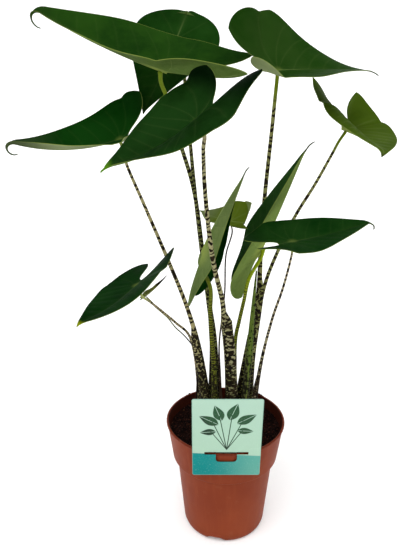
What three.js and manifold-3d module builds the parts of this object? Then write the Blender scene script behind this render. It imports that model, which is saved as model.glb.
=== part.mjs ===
// Potted zebrina alocasia: arrow-shaped leaves on banded stalks, in a round nursery pot with a hanging card.
// Millimetres, +Z up. The origin is the middle of the pot's underside, and -Y is the side seen first.

import * as THREE from 'three';
import { mergeVertices } from 'three/addons/utils/BufferGeometryUtils.js';
import Module from 'manifold-3d';

const wasm = await Module();
wasm.setup();

const rad = THREE.MathUtils.degToRad;
const GAP = 0.3;

// Pot
const POT_HEIGHT = 172;
const RIM_RADIUS = 85;
const WALL = 2;
const RIM_LIP = 3;
const RIM_OVERHANG = 1.6;
const COLLAR_HEIGHT = 57;
const COLLAR_FOOT = POT_HEIGHT - COLLAR_HEIGHT;
const COLLAR_ROUNDING = 2;
const COLLAR_FOOT_RADIUS = 76;
const WALL_TOP_RADIUS = 70;
const WALL_FOOT_RADIUS = 60;
const FOOT_ROUNDING = 8;
const DIAGONAL = 1 - Math.SQRT1_2;
const LEDGE_FALL = 1;
const CORNER_INSIDE = 3;
const FOOT_RING_INNER = 47;
const FLOOR_LIFT = 8;
const PAD_RADIUS = 27;
const PAD_FLARE = 4;
const PAD_WALL = 1.3;
const POT_SIDES = 48;
const DRAIN_HOLES = 6;
const DRAIN_HOLE_RADIUS = 4;
const DRAIN_HOLE_SIDES = 12;
const NOTCHES = 3;
const NOTCH_WIDTH = 34;
const NOTCH_HEIGHT = 8.5;
const NOTCH_FLARE = 9;
const NOTCH_START_RADIUS = 41;
const NOTCH_DEPTH = 30;
const FIRST_NOTCH_ANGLE = -104;

// Soil
const SOIL_BELOW_RIM = 13;
const SOIL_ROUGHNESS = 2.4;
const SOIL_MOUND = 4;
const SOIL_CLEARANCE = 0.5;
const SOIL_SECTORS = 48;
const SOIL_RINGS = 9;

// Card
const CARD_WIDTH = 90;
const CARD_HEIGHT = 130;
const CARD_THICKNESS = 0.8;
const CARD_LOW_EDGE = 136;
const CARD_LEAN = 8.5;
const CARD_CORNER = 3;
const CARD_SIDE_SHIFT = -2;
const SLOT_WIDTH = 58;
const SLOT_HEIGHT = 5;
const TONGUE_WIDTH = 28;
const TONGUE_LENGTH = 13;
const TONGUE_CORNER = 5;
const TONGUE_BELOW_RIM = 9;
const TONGUE_INSIDE_RIM = 3.5;

// Leaf blades
const BLADE_THICKNESS = 0.8;
const RIB_DEPTH = 1.4;
const LOBE_ROWS = 5;
const BLADE_ROWS = 9;
const BLADE_COLUMNS = 4;
const SPINE_STEPS = 40;
const JOIN_SHARE = 0.18;
const SHOULDER_BACK = 0.42;
const SHOULDER_WIDTH = 1.04;
const LOBE_TAPER = 0.62;
const NOTCH_HOLLOW = [0.04, 0.45];
const LOBE_FLANK = [0.72, 0.35];
const TIP_FULLNESS = 1.6;
const TIP_SHARPNESS = 1.15;
const DROOP_POWER = 1.2;
const CURL_START = 0.86;
const CURL_POWER = 1.5;
const RIB_RUN_OUT = 1.3;

// Stalks
const STALK_SIDES = 8;
const STALK_STEPS = 16;
const STALK_SINK = 22;
const STRAIGHT_ABOVE_SOIL = 10;
const SHEATH_RUN_OUT = 18;
const HUB_LEAD = 12;
const HUB_GAP = 0.9;
const NOTCH_GAP = 5;
const USUAL_LEAD = [0.8, 0.4];

const COLOURS = {
  terracotta: 0x9c4d2c,
  soil: 0x2a1c14,
  card: 0x7fc4b8,
  leafGreen: 0x234d1c,
  youngGreen: 0x93a650,
  stalkCream: 0xa8a077,
  stalkGreen: 0x8d9a4a,
  brownStalk: 0x6d5440,
};

// Each leaf: hub is where the stalk meets the blade. yaw, pitch and roll turn the blade towards its tip.
// length runs from hub to tip, width is half the blade, lobe and spread place the ends of the two rear lobes,
// and join is how far the lobes are grown together behind the hub. The rest bends the flat blade:
// droop and curl along the midrib, sweep sideways, lift of each lobe, twist, and fold and cup of each half.
const LEAVES = {
  front_leaf: {
    hub: [-41, -105, 601], yaw: -168, pitch: -38, roll: 2,
    length: 111, width: 72, lobe: [75, 70], spread: [45, 38], join: 24,
    droop: -31, curl: 30, sweep: 2, twist: -5, lift: [9, -48],
    fold: [25, 23], tipFold: [19, 41], lobeFold: [30, 33], cup: [-59, 6],
    wave: 2, ripples: 3, phase: 0.4,
  },
  left_leaf: {
    hub: [-137, 14, 567], yaw: 179, pitch: -16, roll: -9,
    length: 151, width: 62, lobe: [18, 62], spread: [24, 45], join: 11,
    droop: -36, curl: 147, sweep: -1, twist: 4, lift: [0, -36],
    fold: [7, 32], tipFold: [38, 21], lobeFold: [14, 46], cup: [5, 7],
    wave: 2, ripples: 2.5, phase: 1.2,
  },
  top_left_leaf: {
    hub: [-84, 17, 649], yaw: 170, pitch: 19, roll: -14,
    length: 182, width: 73, lobe: [106, 106], spread: [61, 61], join: 8,
    droop: -13, curl: 142, sweep: -1, twist: -3, lift: [-1, -20],
    fold: [23, 26], tipFold: [21, 35], lobeFold: [45, 29], cup: [2, -12],
    wave: 2, ripples: 3, phase: 2.1,
  },
  back_leaf: {
    hub: [-68, 92, 684], yaw: -130, pitch: -57, roll: -3,
    length: 106, width: 62, lobe: [43, 43], spread: [2, 2], join: 39,
    droop: 4, curl: 13, sweep: -12, twist: -1, lift: [-20, -20],
    fold: [-15, 20], tipFold: [16, 17], lobeFold: [0, 18], cup: [6, 4],
    wave: 2, ripples: 3, phase: 3.0,
  },
  top_right_leaf: {
    hub: [55, -1, 649], yaw: 7, pitch: 2, roll: 21,
    length: 120, width: 81, lobe: [60, 60], spread: [47, 47], join: 13,
    droop: 6, curl: 18, sweep: 2, twist: -5, lift: [-5, -41],
    fold: [31, 17], tipFold: [-17, 16], lobeFold: [54, 30], cup: [8, -1],
    wave: 2, ripples: 3, phase: 0.9,
  },
  right_leaf: {
    hub: [146, 17, 578], yaw: -70, pitch: -6, roll: -35,
    length: 111, width: 56, lobe: [80, 80], spread: [53, 53], join: 10,
    droop: 13, curl: 71, sweep: -16, twist: 7, lift: [-16, -24],
    fold: [37, 46], tipFold: [19, -10], lobeFold: [63, 64], cup: [7, -79],
    wave: 1, ripples: 3, phase: 1.7,
  },
  low_right_leaf: {
    hub: [70, -84, 464], yaw: 19, pitch: 4, roll: 3,
    length: 108, width: 47, lobe: [50, 54], spread: [22, 22], join: 17,
    droop: -10, curl: 50, sweep: 0, twist: 4, lift: [-7, -4],
    fold: [11, 9], tipFold: [24, 16], lobeFold: [1, 20], cup: [2, -7],
    wave: 1.5, ripples: 2.5, phase: 2.6,
  },
  low_left_leaf: {
    hub: [-116, -52, 398], yaw: -117, pitch: -12, roll: 17,
    length: 114, width: 47, lobe: [66, 66], spread: [26, 26], join: 13,
    droop: -19, curl: 30, sweep: -1, twist: -7, lift: [-5, 14],
    fold: [19, 2], tipFold: [-3, 19], lobeFold: [27, 7], cup: [-4, 3],
    wave: 1.5, ripples: 2.5, phase: 0.2,
  },
  inner_left_leaf: {
    hub: [-32, 10, 424], yaw: -32, pitch: 65, roll: -163, atNotch: true,
    length: 122, width: 40, lobe: [79, 79], spread: [23, 23], join: 4,
    droop: -9, curl: 10, sweep: 0, twist: 1, lift: [-7, 4],
    fold: [29, 31], tipFold: [31, 13], lobeFold: [24, 51], cup: [6, 5],
    wave: 1, ripples: 2, phase: 1.1,
  },
  inner_right_leaf: {
    hub: [44, 9, 426], yaw: -49, pitch: 64, roll: 41,
    length: 155, width: 53, lobe: [79, 79], spread: [12, 12], join: 12,
    droop: -2, curl: 13, sweep: 0, twist: 1, lift: [-26, 14],
    fold: [23, 26], tipFold: [15, 22], lobeFold: [17, 30], cup: [7, 2],
    wave: 1, ripples: 2, phase: 2.2,
  },
  small_back_leaf: {
    hub: [5, 71, 447], yaw: 132, pitch: -5, roll: -24,
    length: 60, width: 30, lobe: [47, 41], spread: [15, 31], join: 28,
    droop: -21, curl: 20, sweep: -5, twist: 3, lift: [11, -26],
    fold: [26, 28], tipFold: [19, 12], lobeFold: [20, 54], cup: [6, 11],
    wave: 1, ripples: 2, phase: 0.7,
  },
  withered_leaf: {
    hub: [-110, 3, 361], yaw: 0, pitch: 40, roll: 10,
    length: 42, width: 5.5, lobe: [9, 9], spread: [4, 4], join: 4,
    droop: -14, curl: 10, sweep: 0, twist: 20, lift: [0, 0],
    fold: [30, 30], tipFold: [10, 35], lobeFold: [30, 30], cup: [20, 20],
    wave: 1, ripples: 4, phase: 0.5,
  },
};

function bezier(a, b, c, d, t) {
  const s = 1 - t;
  return a * s ** 3 + 3 * b * t * s ** 2 + 3 * c * t ** 2 * s + d * t ** 3;
}

// Ends of the cross rows of one half of the flat blade, from lobe to tip: [inner, outer], each [u, v].
function crossRows(leaf, side) {
  const { length, width, join } = leaf;
  const lobe = leaf.lobe[side];
  const spread = leaf.spread[side];
  const rows = [];
  for (let i = 0; i < LOBE_ROWS; i++) {
    const q = 1 - i / LOBE_ROWS;
    const outer = [
      bezier(0, -SHOULDER_BACK * lobe, -lobe, -lobe, q),
      bezier(width, width * SHOULDER_WIDTH, spread + LOBE_TAPER * (width - spread), spread, q),
    ];
    const s = (q - JOIN_SHARE) / (1 - JOIN_SHARE);
    const inner = s <= 0
      ? [-join * q / JOIN_SHARE, 0]
      : [
        bezier(-join, -join - NOTCH_HOLLOW[0] * lobe, -LOBE_FLANK[0] * lobe, -lobe, s),
        bezier(0, NOTCH_HOLLOW[1] * spread, LOBE_FLANK[1] * spread, spread, s),
      ];
    rows.push([inner, outer]);
  }
  for (let i = 0; i <= BLADE_ROWS; i++) {
    const t = i / BLADE_ROWS;
    rows.push([[length * t, 0], [length * t, width * (1 - t ** TIP_FULLNESS) ** TIP_SHARPNESS]]);
  }
  return rows;
}

// Bends the flat blade: side 0 is the left half and 1 the right one; v runs outward from the midrib.
function bend(leaf, side, u, v) {
  const { length, join, width } = leaf;
  const lobe = leaf.lobe[side];
  const t = THREE.MathUtils.clamp(u / length, 0, 1);
  const q = THREE.MathUtils.clamp((-u - join) / (lobe - join), 0, 1);
  const angleAt = (share) => -rad(leaf.droop) * share ** DROOP_POWER
    - rad(leaf.curl) * Math.max(0, (share - CURL_START) / (1 - CURL_START)) ** CURL_POWER;
  const folded = u >= 0
    ? leaf.fold[side] + (leaf.tipFold[side] - leaf.fold[side]) * t
    : leaf.fold[side] + (leaf.lobeFold[side] - leaf.fold[side]) * q * (2 - q);
  const spine = new THREE.Vector3();
  const step = new THREE.Vector3();
  for (let i = 0; i < SPINE_STEPS; i++) {
    const middle = (i + 0.5) / SPINE_STEPS;
    if (u >= 0) {
      const pitch = angleAt(middle * t);
      const heading = rad(leaf.sweep) * middle * t;
      step.set(Math.cos(pitch) * Math.cos(heading), Math.cos(pitch) * Math.sin(heading), Math.sin(pitch));
      spine.addScaledVector(step, u / SPINE_STEPS);
    } else {
      const back = Math.max(0, (-u * middle - join) / (lobe - join));
      const pitch = rad(leaf.lift[side]) * back;
      step.set(-Math.cos(pitch), 0, -Math.sin(pitch));
      spine.addScaledVector(step, -u / SPINE_STEPS);
    }
  }
  const pitch = u >= 0 ? angleAt(t) : rad(leaf.lift[side]) * q;
  const heading = rad(leaf.sweep) * t;
  const roll = rad(leaf.twist) * t;
  const ahead = new THREE.Vector3(
    Math.cos(pitch) * Math.cos(heading), Math.cos(pitch) * Math.sin(heading), Math.sin(pitch));
  const across = new THREE.Vector3(-Math.sin(heading), Math.cos(heading), 0);
  const up = new THREE.Vector3().crossVectors(ahead, across);
  const acrossTurned = across.clone().multiplyScalar(Math.cos(roll)).addScaledVector(up, Math.sin(roll));
  const upTurned = up.clone().multiplyScalar(Math.cos(roll)).addScaledVector(across, -Math.sin(roll));
  const foldAngle = rad(folded);
  const turn = rad(leaf.cup[side] || 0.01) / width;
  const end = foldAngle + turn * v;
  const outward = (Math.sin(end) - Math.sin(foldAngle)) / turn;
  const raised = (Math.cos(foldAngle) - Math.cos(end)) / turn;
  const rippleHeight = leaf.wave * (v / width) ** 2 * (1 - t ** 2)
    * Math.sin(leaf.ripples * Math.PI * (u / length) + leaf.phase + side);
  return spine
    .addScaledVector(acrossTurned, side === 0 ? outward : -outward)
    .addScaledVector(upTurned, raised + rippleHeight);
}

function leafAxes(leaf) {
  const yaw = rad(leaf.yaw);
  const pitch = rad(leaf.pitch);
  const roll = rad(leaf.roll);
  const ahead = new THREE.Vector3(
    Math.cos(pitch) * Math.cos(yaw), Math.cos(pitch) * Math.sin(yaw), Math.sin(pitch));
  const level = new THREE.Vector3(-Math.sin(yaw), Math.cos(yaw), 0);
  const raised = new THREE.Vector3().crossVectors(ahead, level);
  const across = level.clone().multiplyScalar(Math.cos(roll)).addScaledVector(raised, Math.sin(roll));
  const up = raised.clone().multiplyScalar(Math.cos(roll)).addScaledVector(level, -Math.sin(roll));
  return { ahead, across, up };
}

function placeOnLeaf(leaf, local) {
  const { ahead, across, up } = leafAxes(leaf);
  return new THREE.Vector3(...leaf.hub)
    .addScaledVector(ahead, local.x)
    .addScaledVector(across, local.y)
    .addScaledVector(up, local.z);
}

// Makes a closed sheet from its upper face: the same triangles below, and a rim between their open edges.
function thicken(points, triangles, depths) {
  const normals = points.map(() => new THREE.Vector3());
  const edgeA = new THREE.Vector3();
  const edgeB = new THREE.Vector3();
  const openEdges = new Map();
  for (const [a, b, c] of triangles) {
    edgeA.subVectors(points[b], points[a]);
    edgeB.subVectors(points[c], points[a]);
    const normal = new THREE.Vector3().crossVectors(edgeA, edgeB);
    for (const corner of [a, b, c]) normals[corner].add(normal);
    for (const [from, to] of [[a, b], [b, c], [c, a]]) {
      if (!openEdges.delete(`${to}_${from}`)) openEdges.set(`${from}_${to}`, [from, to]);
    }
  }
  const count = points.length;
  const positions = [];
  points.forEach((point) => positions.push(point.x, point.y, point.z));
  points.forEach((point, i) => {
    const lower = point.clone().addScaledVector(normals[i].normalize(), -depths[i]);
    positions.push(lower.x, lower.y, lower.z);
  });
  const index = [];
  for (const [a, b, c] of triangles) {
    index.push(a, b, c, a + count, c + count, b + count);
  }
  for (const [from, to] of openEdges.values()) {
    index.push(to, from, from + count, to, from + count, to + count);
  }
  const geometry = new THREE.BufferGeometry();
  geometry.setAttribute('position', new THREE.Float32BufferAttribute(positions, 3));
  geometry.setIndex(index);
  return geometry;
}

function bladeGeometry(leaf) {
  const points = [];
  const depths = [];
  const spine = new Map();
  const triangles = [];
  for (const side of [0, 1]) {
    const rows = crossRows(leaf, side);
    const grid = rows.map(([inner, outer], i) => {
      const line = [];
      for (let j = 0; j <= BLADE_COLUMNS; j++) {
        const s = j / BLADE_COLUMNS;
        const u = inner[0] + (outer[0] - inner[0]) * s;
        const v = inner[1] + (outer[1] - inner[1]) * s;
        const pointed = i === 0 || i === rows.length - 1;
        if (pointed && j > 0) {
          line.push(line[0]);
          continue;
        }
        const shared = v === 0;
        if (shared && spine.has(i)) {
          line.push(spine.get(i));
          continue;
        }
        const rib = shared ? RIB_DEPTH * Math.min(1, RIB_RUN_OUT - u / leaf.length) : 0;
        points.push(placeOnLeaf(leaf, bend(leaf, side, u, v)));
        depths.push(BLADE_THICKNESS + Math.max(0, rib));
        if (shared) spine.set(i, points.length - 1);
        line.push(points.length - 1);
      }
      return line;
    });
    for (let i = 0; i < grid.length - 1; i++) {
      for (let j = 0; j < BLADE_COLUMNS; j++) {
        const corners = [grid[i][j], grid[i + 1][j], grid[i + 1][j + 1], grid[i][j + 1]];
        if (side === 1) corners.reverse();
        for (const [a, b, c] of [[0, 1, 2], [0, 2, 3]]) {
          const triangle = [corners[a], corners[b], corners[c]];
          if (new Set(triangle).size === 3) triangles.push(triangle);
        }
      }
    }
  }
  return thicken(points, triangles, depths);
}

// Stalks run from the soil to their leaf's hub through the places in between. radii go from top to base.
// sheath gives how high a stalk's open edge ends, how far it stands out, and to which side.
// lead says how much of the last stretch comes from straight under the blade, and how much along the stalk.
const STALKS = {
  front_leaf: {
    base: [5, -6],
    path: [[1, -11, 272], [-5, -18, 330], [-7, -28, 362], [-21, -48, 430], [-31, -68, 520], [-33, -84, 569]],
    radii: [2.3, 3.3, 5.5], sheath: { top: 350, out: 8, side: 0 },
  },
  left_leaf: {
    base: [-23, -4], path: [[-38, -9, 287], [-54, -14, 352], [-76, -8, 410], [-106, 2, 482], [-130, 10, 540]],
    radii: [1.9, 2.8, 6], sheath: { top: 322, out: 4.5, side: 180 },
  },
  top_left_leaf: {
    base: [-13, 7],
    path: [[-17, 15, 290], [-24, 40, 335], [-31, 56, 387], [-45, 52, 495], [-65, 30, 570], [-76, 22, 613]],
    radii: [2.5, 3.2, 5.8], sheath: { top: 250, out: 3, side: 0 }, lead: [0.4, 0.6],
  },
  back_leaf: {
    base: [-20, 18], path: [[-19, 28, 285], [-24, 53, 334], [-32, 69, 386], [-44, 80, 489], [-56, 100, 618]],
    radii: [2.3, 3.2, 5.6], sheath: { top: 250, out: 2, side: 90 },
  },
  top_right_leaf: {
    base: [30, 10],
    path: [[33, 13, 262], [40, 25, 313], [46, 38, 356], [48, 51, 406], [50, 50, 476], [53, 16, 584],
      [54, 4, 624]],
    radii: [2.3, 3.3, 6], sheath: { top: 372, out: 4, side: 0 },
  },
  right_leaf: {
    base: [24, 25],
    path: [[46, 46, 307], [57, 53, 363], [74, 50, 415], [93, 40, 465], [114, 34, 506], [133, 25, 550]],
    radii: [1.8, 2.7, 5.2], sheath: { top: 300, out: 6, side: 180 },
  },
  low_right_leaf: {
    base: [39, -4], path: [[47, -9, 262], [58, -28, 342], [67, -46, 391], [72, -64, 435]],
    radii: [1.4, 2, 4.1], sheath: { top: 245, out: 1.5, side: 180 }, lead: [0.4, 0.6],
  },
  low_left_leaf: {
    base: [-36, 13], path: [[-51, 14, 295], [-70, 4, 321], [-86, -10, 343], [-101, -34, 368]],
    radii: [1.5, 1.9, 3.5], sheath: { top: 215, out: 1.5, side: 90 },
  },
  inner_left_leaf: {
    base: [-15, -13], path: [[-18, -13, 272], [-21, -12, 305], [-23, -8, 340], [-23, 0, 375]],
    radii: [2.6, 3.5, 5.8], sheath: { top: 260, out: 2.5, side: 250 }, lead: [0.7, 0.35],
  },
  inner_right_leaf: {
    base: [13, 15], path: [[13, 12, 293], [17, 5, 323], [22, -3, 356], [28, -7, 390]],
    radii: [2.4, 2.8, 4.8], sheath: { top: 280, out: 3, side: 270 }, lead: [0.75, 0.4],
  },
  small_back_leaf: {
    base: [-6, -16], path: [[-9, -12, 245], [-10, 3, 290], [-6, 19, 322], [-2, 36, 355], [0, 57, 402]],
    radii: [1.1, 1.2, 3.2], sheath: { top: 262, out: 1, side: 270 },
  },
  withered_leaf: {
    base: [-43, 3], path: [[-43, 10, 273], [-56, 9, 296], [-71, 9, 312], [-81, 9, 326], [-99, 7, 345]],
    radii: [0.8, 1, 1.6], sheath: { top: 200, out: 0.8, side: 180 },
  },
};
const SPEAR = {
  base: [25, -9], path: [[29, -9, 240], [32, -8, 300], [35, -4, 356], [38, 1, 398]],
  radii: [1, 5, 5.2],
};

// Outside of the pot from the middle of its underside up to the rim: [radius, height].
const potProfile = [
  [0, 0],
  [PAD_RADIUS, 0],
  [PAD_RADIUS + PAD_FLARE, FLOOR_LIFT],
  [FOOT_RING_INNER, FLOOR_LIFT],
  [FOOT_RING_INNER + 1, 0],
  [WALL_FOOT_RADIUS - FOOT_ROUNDING, 0],
  [WALL_FOOT_RADIUS - DIAGONAL * FOOT_ROUNDING, DIAGONAL * FOOT_ROUNDING],
  [WALL_FOOT_RADIUS, FOOT_ROUNDING],
  [WALL_TOP_RADIUS, COLLAR_FOOT],
  [COLLAR_FOOT_RADIUS - COLLAR_ROUNDING, COLLAR_FOOT],
  [COLLAR_FOOT_RADIUS, COLLAR_FOOT + COLLAR_ROUNDING],
  [RIM_RADIUS - RIM_OVERHANG, POT_HEIGHT - RIM_LIP],
  [RIM_RADIUS, POT_HEIGHT - RIM_LIP],
  [RIM_RADIUS, POT_HEIGHT],
  [RIM_RADIUS - RIM_LIP, POT_HEIGHT],
];

// Inside of the pot from the rim down to the floor's middle; grow moves it inwards, as for the soil.
function potInside(grow) {
  return [
    [RIM_RADIUS - RIM_LIP - grow, POT_HEIGHT],
    [COLLAR_FOOT_RADIUS - WALL - grow, COLLAR_FOOT + WALL + grow],
    [WALL_TOP_RADIUS - WALL - grow, COLLAR_FOOT + WALL + grow - LEDGE_FALL],
    [WALL_FOOT_RADIUS - WALL - grow, FLOOR_LIFT + WALL + CORNER_INSIDE + grow],
    [WALL_FOOT_RADIUS - WALL - CORNER_INSIDE - grow, FLOOR_LIFT + WALL + grow],
    [PAD_RADIUS + PAD_FLARE - PAD_WALL - grow, FLOOR_LIFT + WALL + grow],
    [PAD_RADIUS - PAD_WALL - grow, WALL + grow],
    [0, WALL + grow],
  ];
}

function lathe(profile, sides) {
  const points = profile.map(([radius, height]) => new THREE.Vector2(radius, height));
  const geometry = new THREE.LatheGeometry(points, sides);
  geometry.rotateX(Math.PI / 2);
  return geometry;
}

function toSolid(geometry) {
  const bare = geometry.clone();
  bare.deleteAttribute('normal');
  bare.deleteAttribute('uv');
  const merged = mergeVertices(bare, 1e-4);
  return new wasm.Manifold(new wasm.Mesh({
    numProp: 3,
    vertProperties: new Float32Array(merged.attributes.position.array),
    triVerts: new Uint32Array(merged.index.array),
  }));
}

function toGeometry(solid) {
  const mesh = solid.getMesh();
  const geometry = new THREE.BufferGeometry();
  geometry.setAttribute('position', new THREE.BufferAttribute(mesh.vertProperties, 3));
  geometry.setIndex(new THREE.BufferAttribute(mesh.triVerts, 1));
  return geometry;
}

function potGeometry() {
  let pot = toSolid(lathe([...potProfile, ...potInside(0)], POT_SIDES));
  const holeRing = (PAD_RADIUS + PAD_FLARE + FOOT_RING_INNER) / 2;
  for (let i = 0; i < DRAIN_HOLES; i++) {
    const angle = 2 * Math.PI * (i + 0.5) / DRAIN_HOLES;
    const hole = new THREE.CylinderGeometry(
      DRAIN_HOLE_RADIUS, DRAIN_HOLE_RADIUS, 4 * FLOOR_LIFT, DRAIN_HOLE_SIDES);
    hole.rotateX(Math.PI / 2);
    hole.translate(holeRing * Math.cos(angle), holeRing * Math.sin(angle), FLOOR_LIFT);
    pot = pot.subtract(toSolid(hole));
  }
  const notchShape = new THREE.Shape([
    new THREE.Vector2(-NOTCH_WIDTH / 2, -1),
    new THREE.Vector2(NOTCH_WIDTH / 2, -1),
    new THREE.Vector2(NOTCH_WIDTH / 2 - NOTCH_FLARE, NOTCH_HEIGHT),
    new THREE.Vector2(-NOTCH_WIDTH / 2 + NOTCH_FLARE, NOTCH_HEIGHT),
  ]);
  for (let i = 0; i < NOTCHES; i++) {
    const notch = new THREE.ExtrudeGeometry(notchShape, { depth: NOTCH_DEPTH, bevelEnabled: false });
    notch.rotateX(Math.PI / 2);
    notch.rotateZ(Math.PI / 2);
    notch.translate(NOTCH_START_RADIUS, 0, 0);
    notch.rotateZ(rad(FIRST_NOTCH_ANGLE + 360 * i / NOTCHES));
    pot = pot.subtract(toSolid(notch));
  }
  return toGeometry(pot);
}

// Seeded random numbers from 0 to 1, the same on every run.
function seededRandom(seed) {
  let state = seed;
  return () => {
    state = (state * 1664525 + 1013904223) % 4294967296;
    return state / 4294967296;
  };
}

function soilGeometry(cutters) {
  const random = seededRandom(7);
  const level = POT_HEIGHT - SOIL_BELOW_RIM;
  const edgeLevel = level - SOIL_MOUND / 2;
  const slope = (RIM_RADIUS - RIM_LIP - COLLAR_FOOT_RADIUS + WALL) / (COLLAR_HEIGHT - WALL);
  const edge = RIM_RADIUS - RIM_LIP - slope * (POT_HEIGHT - edgeLevel) - SOIL_CLEARANCE;
  const positions = [0, 0, level + SOIL_ROUGHNESS];
  const index = [];
  for (let ring = 1; ring <= SOIL_RINGS; ring++) {
    for (let i = 0; i < SOIL_SECTORS; i++) {
      const angle = 2 * Math.PI * (i + (ring % 2) / 2) / SOIL_SECTORS;
      const radius = edge * ring / SOIL_RINGS;
      const mound = SOIL_MOUND * (1 - (radius / edge) ** 2);
      const rough = ring === SOIL_RINGS ? 0 : SOIL_ROUGHNESS * (2 * random() - 1);
      positions.push(radius * Math.cos(angle), radius * Math.sin(angle), edgeLevel + mound + rough);
    }
  }
  for (let i = 0; i < SOIL_SECTORS; i++) {
    index.push(0, 1 + i, 1 + (i + 1) % SOIL_SECTORS);
  }
  const lower = potInside(SOIL_CLEARANCE).slice(1, -1);
  const phase = (SOIL_RINGS % 2) / 2;
  for (const [radius, height] of lower) {
    for (let i = 0; i < SOIL_SECTORS; i++) {
      const angle = 2 * Math.PI * (i + phase) / SOIL_SECTORS;
      positions.push(radius * Math.cos(angle), radius * Math.sin(angle), height);
    }
  }
  const rings = SOIL_RINGS + lower.length;
  for (let ring = 0; ring < rings - 1; ring++) {
    const inner = 1 + ring * SOIL_SECTORS;
    const outer = inner + SOIL_SECTORS;
    const shift = ring < SOIL_RINGS - 1 ? ring % 2 : 0;
    const straight = ring >= SOIL_RINGS - 1;
    for (let i = 0; i < SOIL_SECTORS; i++) {
      const next = (i + 1) % SOIL_SECTORS;
      if (straight || shift === 1) {
        index.push(inner + i, outer + i, inner + next);
        index.push(inner + next, outer + i, outer + next);
      } else {
        index.push(inner + i, outer + i, outer + next);
        index.push(inner + i, outer + next, inner + next);
      }
    }
  }
  const last = 1 + (rings - 1) * SOIL_SECTORS;
  positions.push(0, 0, WALL + SOIL_CLEARANCE);
  const floor = positions.length / 3 - 1;
  for (let i = 0; i < SOIL_SECTORS; i++) {
    index.push(last + i, floor, last + (i + 1) % SOIL_SECTORS);
  }
  const geometry = new THREE.BufferGeometry();
  geometry.setAttribute('position', new THREE.Float32BufferAttribute(positions, 3));
  geometry.setIndex(index);
  let soil = toSolid(geometry);
  for (const cutter of cutters) soil = soil.subtract(toSolid(cutter));
  return toGeometry(soil);
}

// The card hangs on the rim by a tongue cut from it, which goes over the rim and down inside.
function cardGeometry() {
  const outline = new THREE.Shape();
  const half = CARD_WIDTH / 2;
  const corner = CARD_CORNER;
  outline.moveTo(-half + corner, 0);
  outline.lineTo(half - corner, 0);
  outline.absarc(half - corner, corner, corner, -Math.PI / 2, 0);
  outline.lineTo(half, CARD_HEIGHT - corner);
  outline.absarc(half - corner, CARD_HEIGHT - corner, corner, 0, Math.PI / 2);
  outline.lineTo(-half + corner, CARD_HEIGHT);
  outline.absarc(-half + corner, CARD_HEIGHT - corner, corner, Math.PI / 2, Math.PI);
  outline.lineTo(-half, corner);
  outline.absarc(-half + corner, corner, corner, Math.PI, 1.5 * Math.PI);
  const lean = rad(CARD_LEAN);
  const slotMiddle = (POT_HEIGHT - CARD_LOW_EDGE) / Math.cos(lean);
  const slot = new THREE.Path();
  slot.moveTo(-SLOT_WIDTH / 2, slotMiddle + SLOT_HEIGHT);
  slot.lineTo(-SLOT_WIDTH / 2, slotMiddle);
  slot.lineTo(-TONGUE_WIDTH / 2, slotMiddle);
  slot.lineTo(-TONGUE_WIDTH / 2, slotMiddle - TONGUE_LENGTH + TONGUE_CORNER);
  slot.lineTo(-TONGUE_WIDTH / 2 + TONGUE_CORNER, slotMiddle - TONGUE_LENGTH);
  slot.lineTo(TONGUE_WIDTH / 2 - TONGUE_CORNER, slotMiddle - TONGUE_LENGTH);
  slot.lineTo(TONGUE_WIDTH / 2, slotMiddle - TONGUE_LENGTH + TONGUE_CORNER);
  slot.lineTo(TONGUE_WIDTH / 2, slotMiddle);
  slot.lineTo(SLOT_WIDTH / 2, slotMiddle);
  slot.lineTo(SLOT_WIDTH / 2, slotMiddle + SLOT_HEIGHT);
  outline.holes.push(slot);
  const card = new THREE.ExtrudeGeometry(outline, {
    depth: CARD_THICKNESS, bevelEnabled: false, curveSegments: 4,
  });
  card.rotateX(Math.PI / 2);
  card.rotateX(lean);
  const standOff = RIM_RADIUS + GAP + (POT_HEIGHT - CARD_LOW_EDGE) * -Math.tan(lean);
  card.translate(CARD_SIDE_SHIFT, -standOff, CARD_LOW_EDGE);
  const slotTop = POT_HEIGHT + SLOT_HEIGHT * Math.cos(lean);
  const front = RIM_RADIUS + GAP + SLOT_HEIGHT * Math.sin(lean) + CARD_THICKNESS / 2;
  const inside = RIM_RADIUS - RIM_LIP - TONGUE_INSIDE_RIM;
  const fold = new THREE.Shape([
    new THREE.Vector2(-front, slotTop - CARD_THICKNESS / 2),
    new THREE.Vector2(-inside - CARD_THICKNESS, POT_HEIGHT + 1.5 * CARD_THICKNESS),
    new THREE.Vector2(-inside, POT_HEIGHT - TONGUE_BELOW_RIM),
    new THREE.Vector2(-inside + CARD_THICKNESS, POT_HEIGHT - TONGUE_BELOW_RIM),
    new THREE.Vector2(-inside, POT_HEIGHT + 2.5 * CARD_THICKNESS),
    new THREE.Vector2(-front, slotTop + CARD_THICKNESS / 2),
  ]);
  const tongue = new THREE.ExtrudeGeometry(fold, { depth: TONGUE_WIDTH, bevelEnabled: false });
  tongue.rotateX(Math.PI / 2);
  tongue.rotateZ(Math.PI / 2);
  tongue.translate(CARD_SIDE_SHIFT - TONGUE_WIDTH / 2, 0, 0);
  return toGeometry(toSolid(card).add(toSolid(tongue)));
}

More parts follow.
